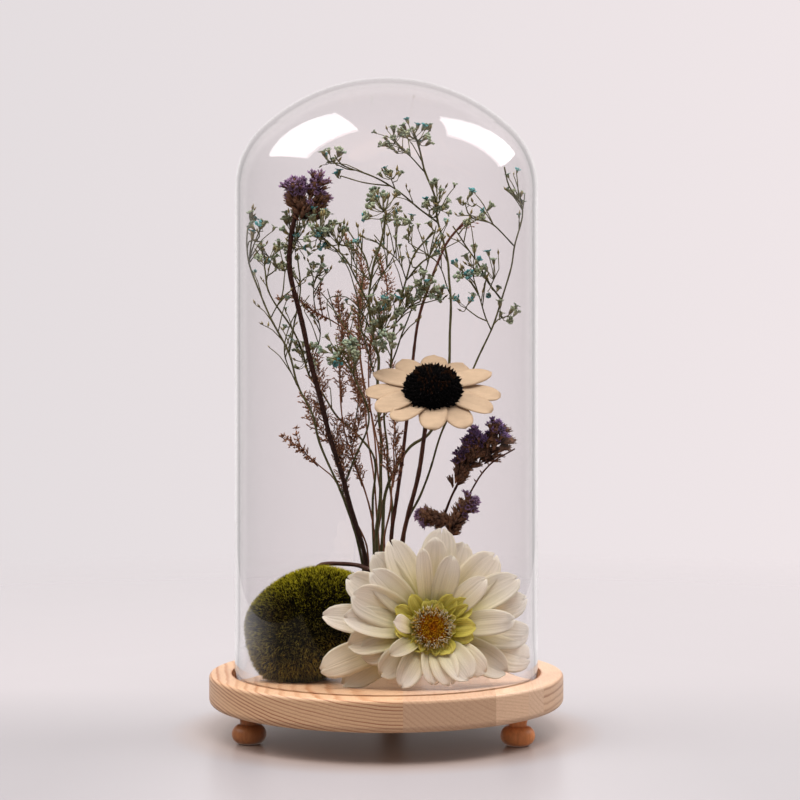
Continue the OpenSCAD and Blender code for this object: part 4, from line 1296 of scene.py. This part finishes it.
def statice_head(shape, lines, count, rng, violet_way, radius, long=3.6, violet_rim=(0.34, 0.21, 0.36),
                 edge=(0.35, 0.85)):
    """Calyces packed along lines. Those that look towards violet_way have papery violet rims."""
    violet_way = Vector(violet_way).normalized()
    for _ in range(count):
        a_line, b_line = rng.choice(lines)
        a, b = Vector(a_line), Vector(b_line)
        t = rng.random() ** 0.8
        ahead = (b - a).normalized()
        u, v = side_ways(ahead)
        turn = any_angle(rng)
        out = around(u, v, turn)
        thick = radius * (0.25 + 0.75 * math.sin(math.pi * min(1, 0.12 + 0.62 * t)))
        foot = a.lerp(b, t) + out * thick * rng.uniform(0.1, 0.45)
        way = (ahead * 1.0 + out * 0.75 + shake(rng, 0.25)).normalized()
        size = rng.uniform(0.8, 1.2)
        tip = inside(foot + way * long * size, 3.5)
        facing = (tip - a.lerp(b, 0.5)).normalized().dot(violet_way)
        violet = facing > rng.uniform(*edge)
        brown = shaded(lerp((0.26, 0.115, 0.05), (0.055, 0.020, 0.012), rng.random()), rng, 0.3)
        tube(shape, [foot, foot.lerp(tip, 0.5), tip], [0.25, 0.60 * size, 0.75 * size], 5,
             [brown, brown, lerp(brown, (0.24, 0.13, 0.09), 0.5)])
        u, v = side_ways((tip - foot).normalized())
        brown_rim = (0.24, 0.125, 0.075)
        rim, teeth, flare, broad = (violet_rim, 6, 0.9, 1.2) if violet else (brown_rim, 4, 0.5, 0.5)
        for j in range(teeth):
            spread = around(u, v, turn + j * 6.28 / teeth)
            end = tip + (spread * flare + way * 0.7) * rng.uniform(1.2, 2.0) * size
            blade(shape, tip - way * 0.5 + spread * 0.3, end, broad, 0.3, spread.cross(way),
                  (lerp(brown, rim, 0.5), shaded(rim, rng, 0.35)), belly=0.6)


STATICE = tinted("statice", roughness=0.85, grain=1500.0, depth=0.35, bumps=0.3)


def make_statice():
    """The three sprigs of statice, each a dark stem with violet heads."""
    rng, shape = random.Random(51), Shape()
    route = [(-7, 12, 30), (-9, 9.5, 67), (-16, 8, 94), (-23, 7, 117), (-31, 5, 150), (-38, 4, 179),
             (-38, 3, 197), (-36, 2, 206)]
    stem(shape, route, 0.95, 1.05, ((0.030, 0.014, 0.010), (0.050, 0.018, 0.012)), rng, sides=9)
    lines = [((-34.5, 2, 202), (-36, 2, 217)), ((-33, 2, 203), (-27, 2, 218)),
             ((-31, 2, 202), (-26.5, 2, 211)), ((-34, 2, 204), (-37.5, 2, 216))]
    statice_head(shape, lines, 260, rng, (-0.1, 0, 1), 3.8, long=3.2)
    shape.piece("statice_left_sprig", STATICE, "statice", "statice_left")

    dark = ((0.050, 0.020, 0.013), (0.090, 0.036, 0.022))
    rng, shape = random.Random(52), Shape()
    stem(shape, [(8, 8, 30), (13, 0, 67), (20, -4, 80), (27, -6, 96), (31, -6, 105)], 0.6, 0.5, dark, rng)
    lines = [((26, -6, 95), (32, -6, 110)), ((29, -6, 100), (33, -6, 112))]
    statice_head(shape, lines, 110, rng, (-0.8, 0, 0.6), 3.6, violet_rim=(0.20, 0.12, 0.26))
    lines = [((32, -6, 104), (38, -7, 115)), ((36, -6, 106), (44, -7, 120)), ((38, -7, 106), (46, -7, 116)),
             ((33, -6, 106), (36, -7, 116))]
    statice_head(shape, lines, 230, rng, (-0.4, 0, 1), 4.2, violet_rim=(0.26, 0.16, 0.36), edge=(0.22, 0.75))
    shape.piece("statice_upper_sprig", STATICE, "statice", "statice_right_upper")

    rng, shape = random.Random(53), Shape()
    route = [(10, 12, 30), (16, -4, 62), (25, -12, 80), (35, -12, 99), (42, -12, 107), (50, -12, 112)]
    points = stem(shape, route, 0.6, 0.3, dark, rng)
    for p in points[-14::2]:
        bud(shape, p, (rng.choice((-1, 1)) * 0.6, -0.2, 0.8), 0.55, rng, (0.14, 0.06, 0.03))
    lines = [((24, -12, 78), (32, -14, 91))]
    statice_head(shape, lines, 120, rng, (0.6, 0, 0.5), 3.0, long=3.2, edge=(0.6, 0.95))
    lines = [((25, -12, 83), (15, -15, 86))]
    statice_head(shape, lines, 110, rng, (-1, 0, 0.15), 3.0, long=3.0, edge=(0.7, 0.98))
    shape.piece("statice_lower_sprig", STATICE, "statice", "statice_right_lower")


def make_stems():
    """The daisy's twig, the bare twig with its few buds, and the gerbera's wrapped wire."""
    rng, shape = random.Random(61), Shape()
    twig = tinted("twig", roughness=0.6, grain=1200.0, depth=0.4, bumps=0.35, stretch=(1, 1, 0.2))
    route = [(5, 6, 30), (6, -2, 71), (7, -4, 79), (12, -8, 99), (15, -12, 118), (17.4, -13.2, 134.6)]
    stem(shape, route, 1.0, 0.9, ((0.075, 0.026, 0.016), (0.110, 0.042, 0.026)), rng, sides=10, wobble=0.06)
    shape.piece("daisy_twig", twig, "twig", "daisy_stem")

    shape = Shape()
    route = [(2, 10, 30), (2, 9, 74), (4, 10, 91), (8, 13, 121), (12, 16, 158), (15, 17, 171), (24, 20, 194),
             (32, 21, 204)]
    colours = (0.070, 0.022, 0.014), (0.120, 0.042, 0.026)
    points = stem(shape, route, 1.0, 0.5, colours, rng, sides=10, wobble=0.1)
    for _ in range(14):
        q = rng.choice(points[-4:])
        way = Vector((rng.uniform(0.2, 1), rng.uniform(-0.4, 0.4), rng.uniform(-0.2, 0.8)))
        end = inside(q + way.normalized() * rng.uniform(2, 5))
        tube(shape, [q, end], [0.16, 0.12], 4, (0.20, 0.07, 0.05))
        bud(shape, end, way, 0.45, rng, (0.34, 0.12, 0.08))
    shape.piece("bare_twig", twig, "twig", "bare_stem")

    shape = Shape()
    wire = tinted("wrapped_wire", roughness=0.55, grain=900.0, depth=0.3, bumps=0.4)
    route = [(15.5, -13, 40.5), (10, -11, 46), (2, -7, 55), (-3, -1, 61.5), (-9, 4, 64.2), (-13, 7, 65),
             (-24, 11, 65), (-28, 14, 63.5), (-30, 18, 58), (-30, 21, 45), (-29, 22, 24.4)]
    stem(shape, route, 0.85, 0.85, (0.075, 0.030, 0.020), rng, sides=12, wobble=0.0)
    shape.piece("gerbera_wire", wire, "wrapped_wire", "gerbera_stem")


make_statice()
make_stems()
give("stone_core", tinted("stone_core", roughness=0.9, grain=300.0, depth=0.3))
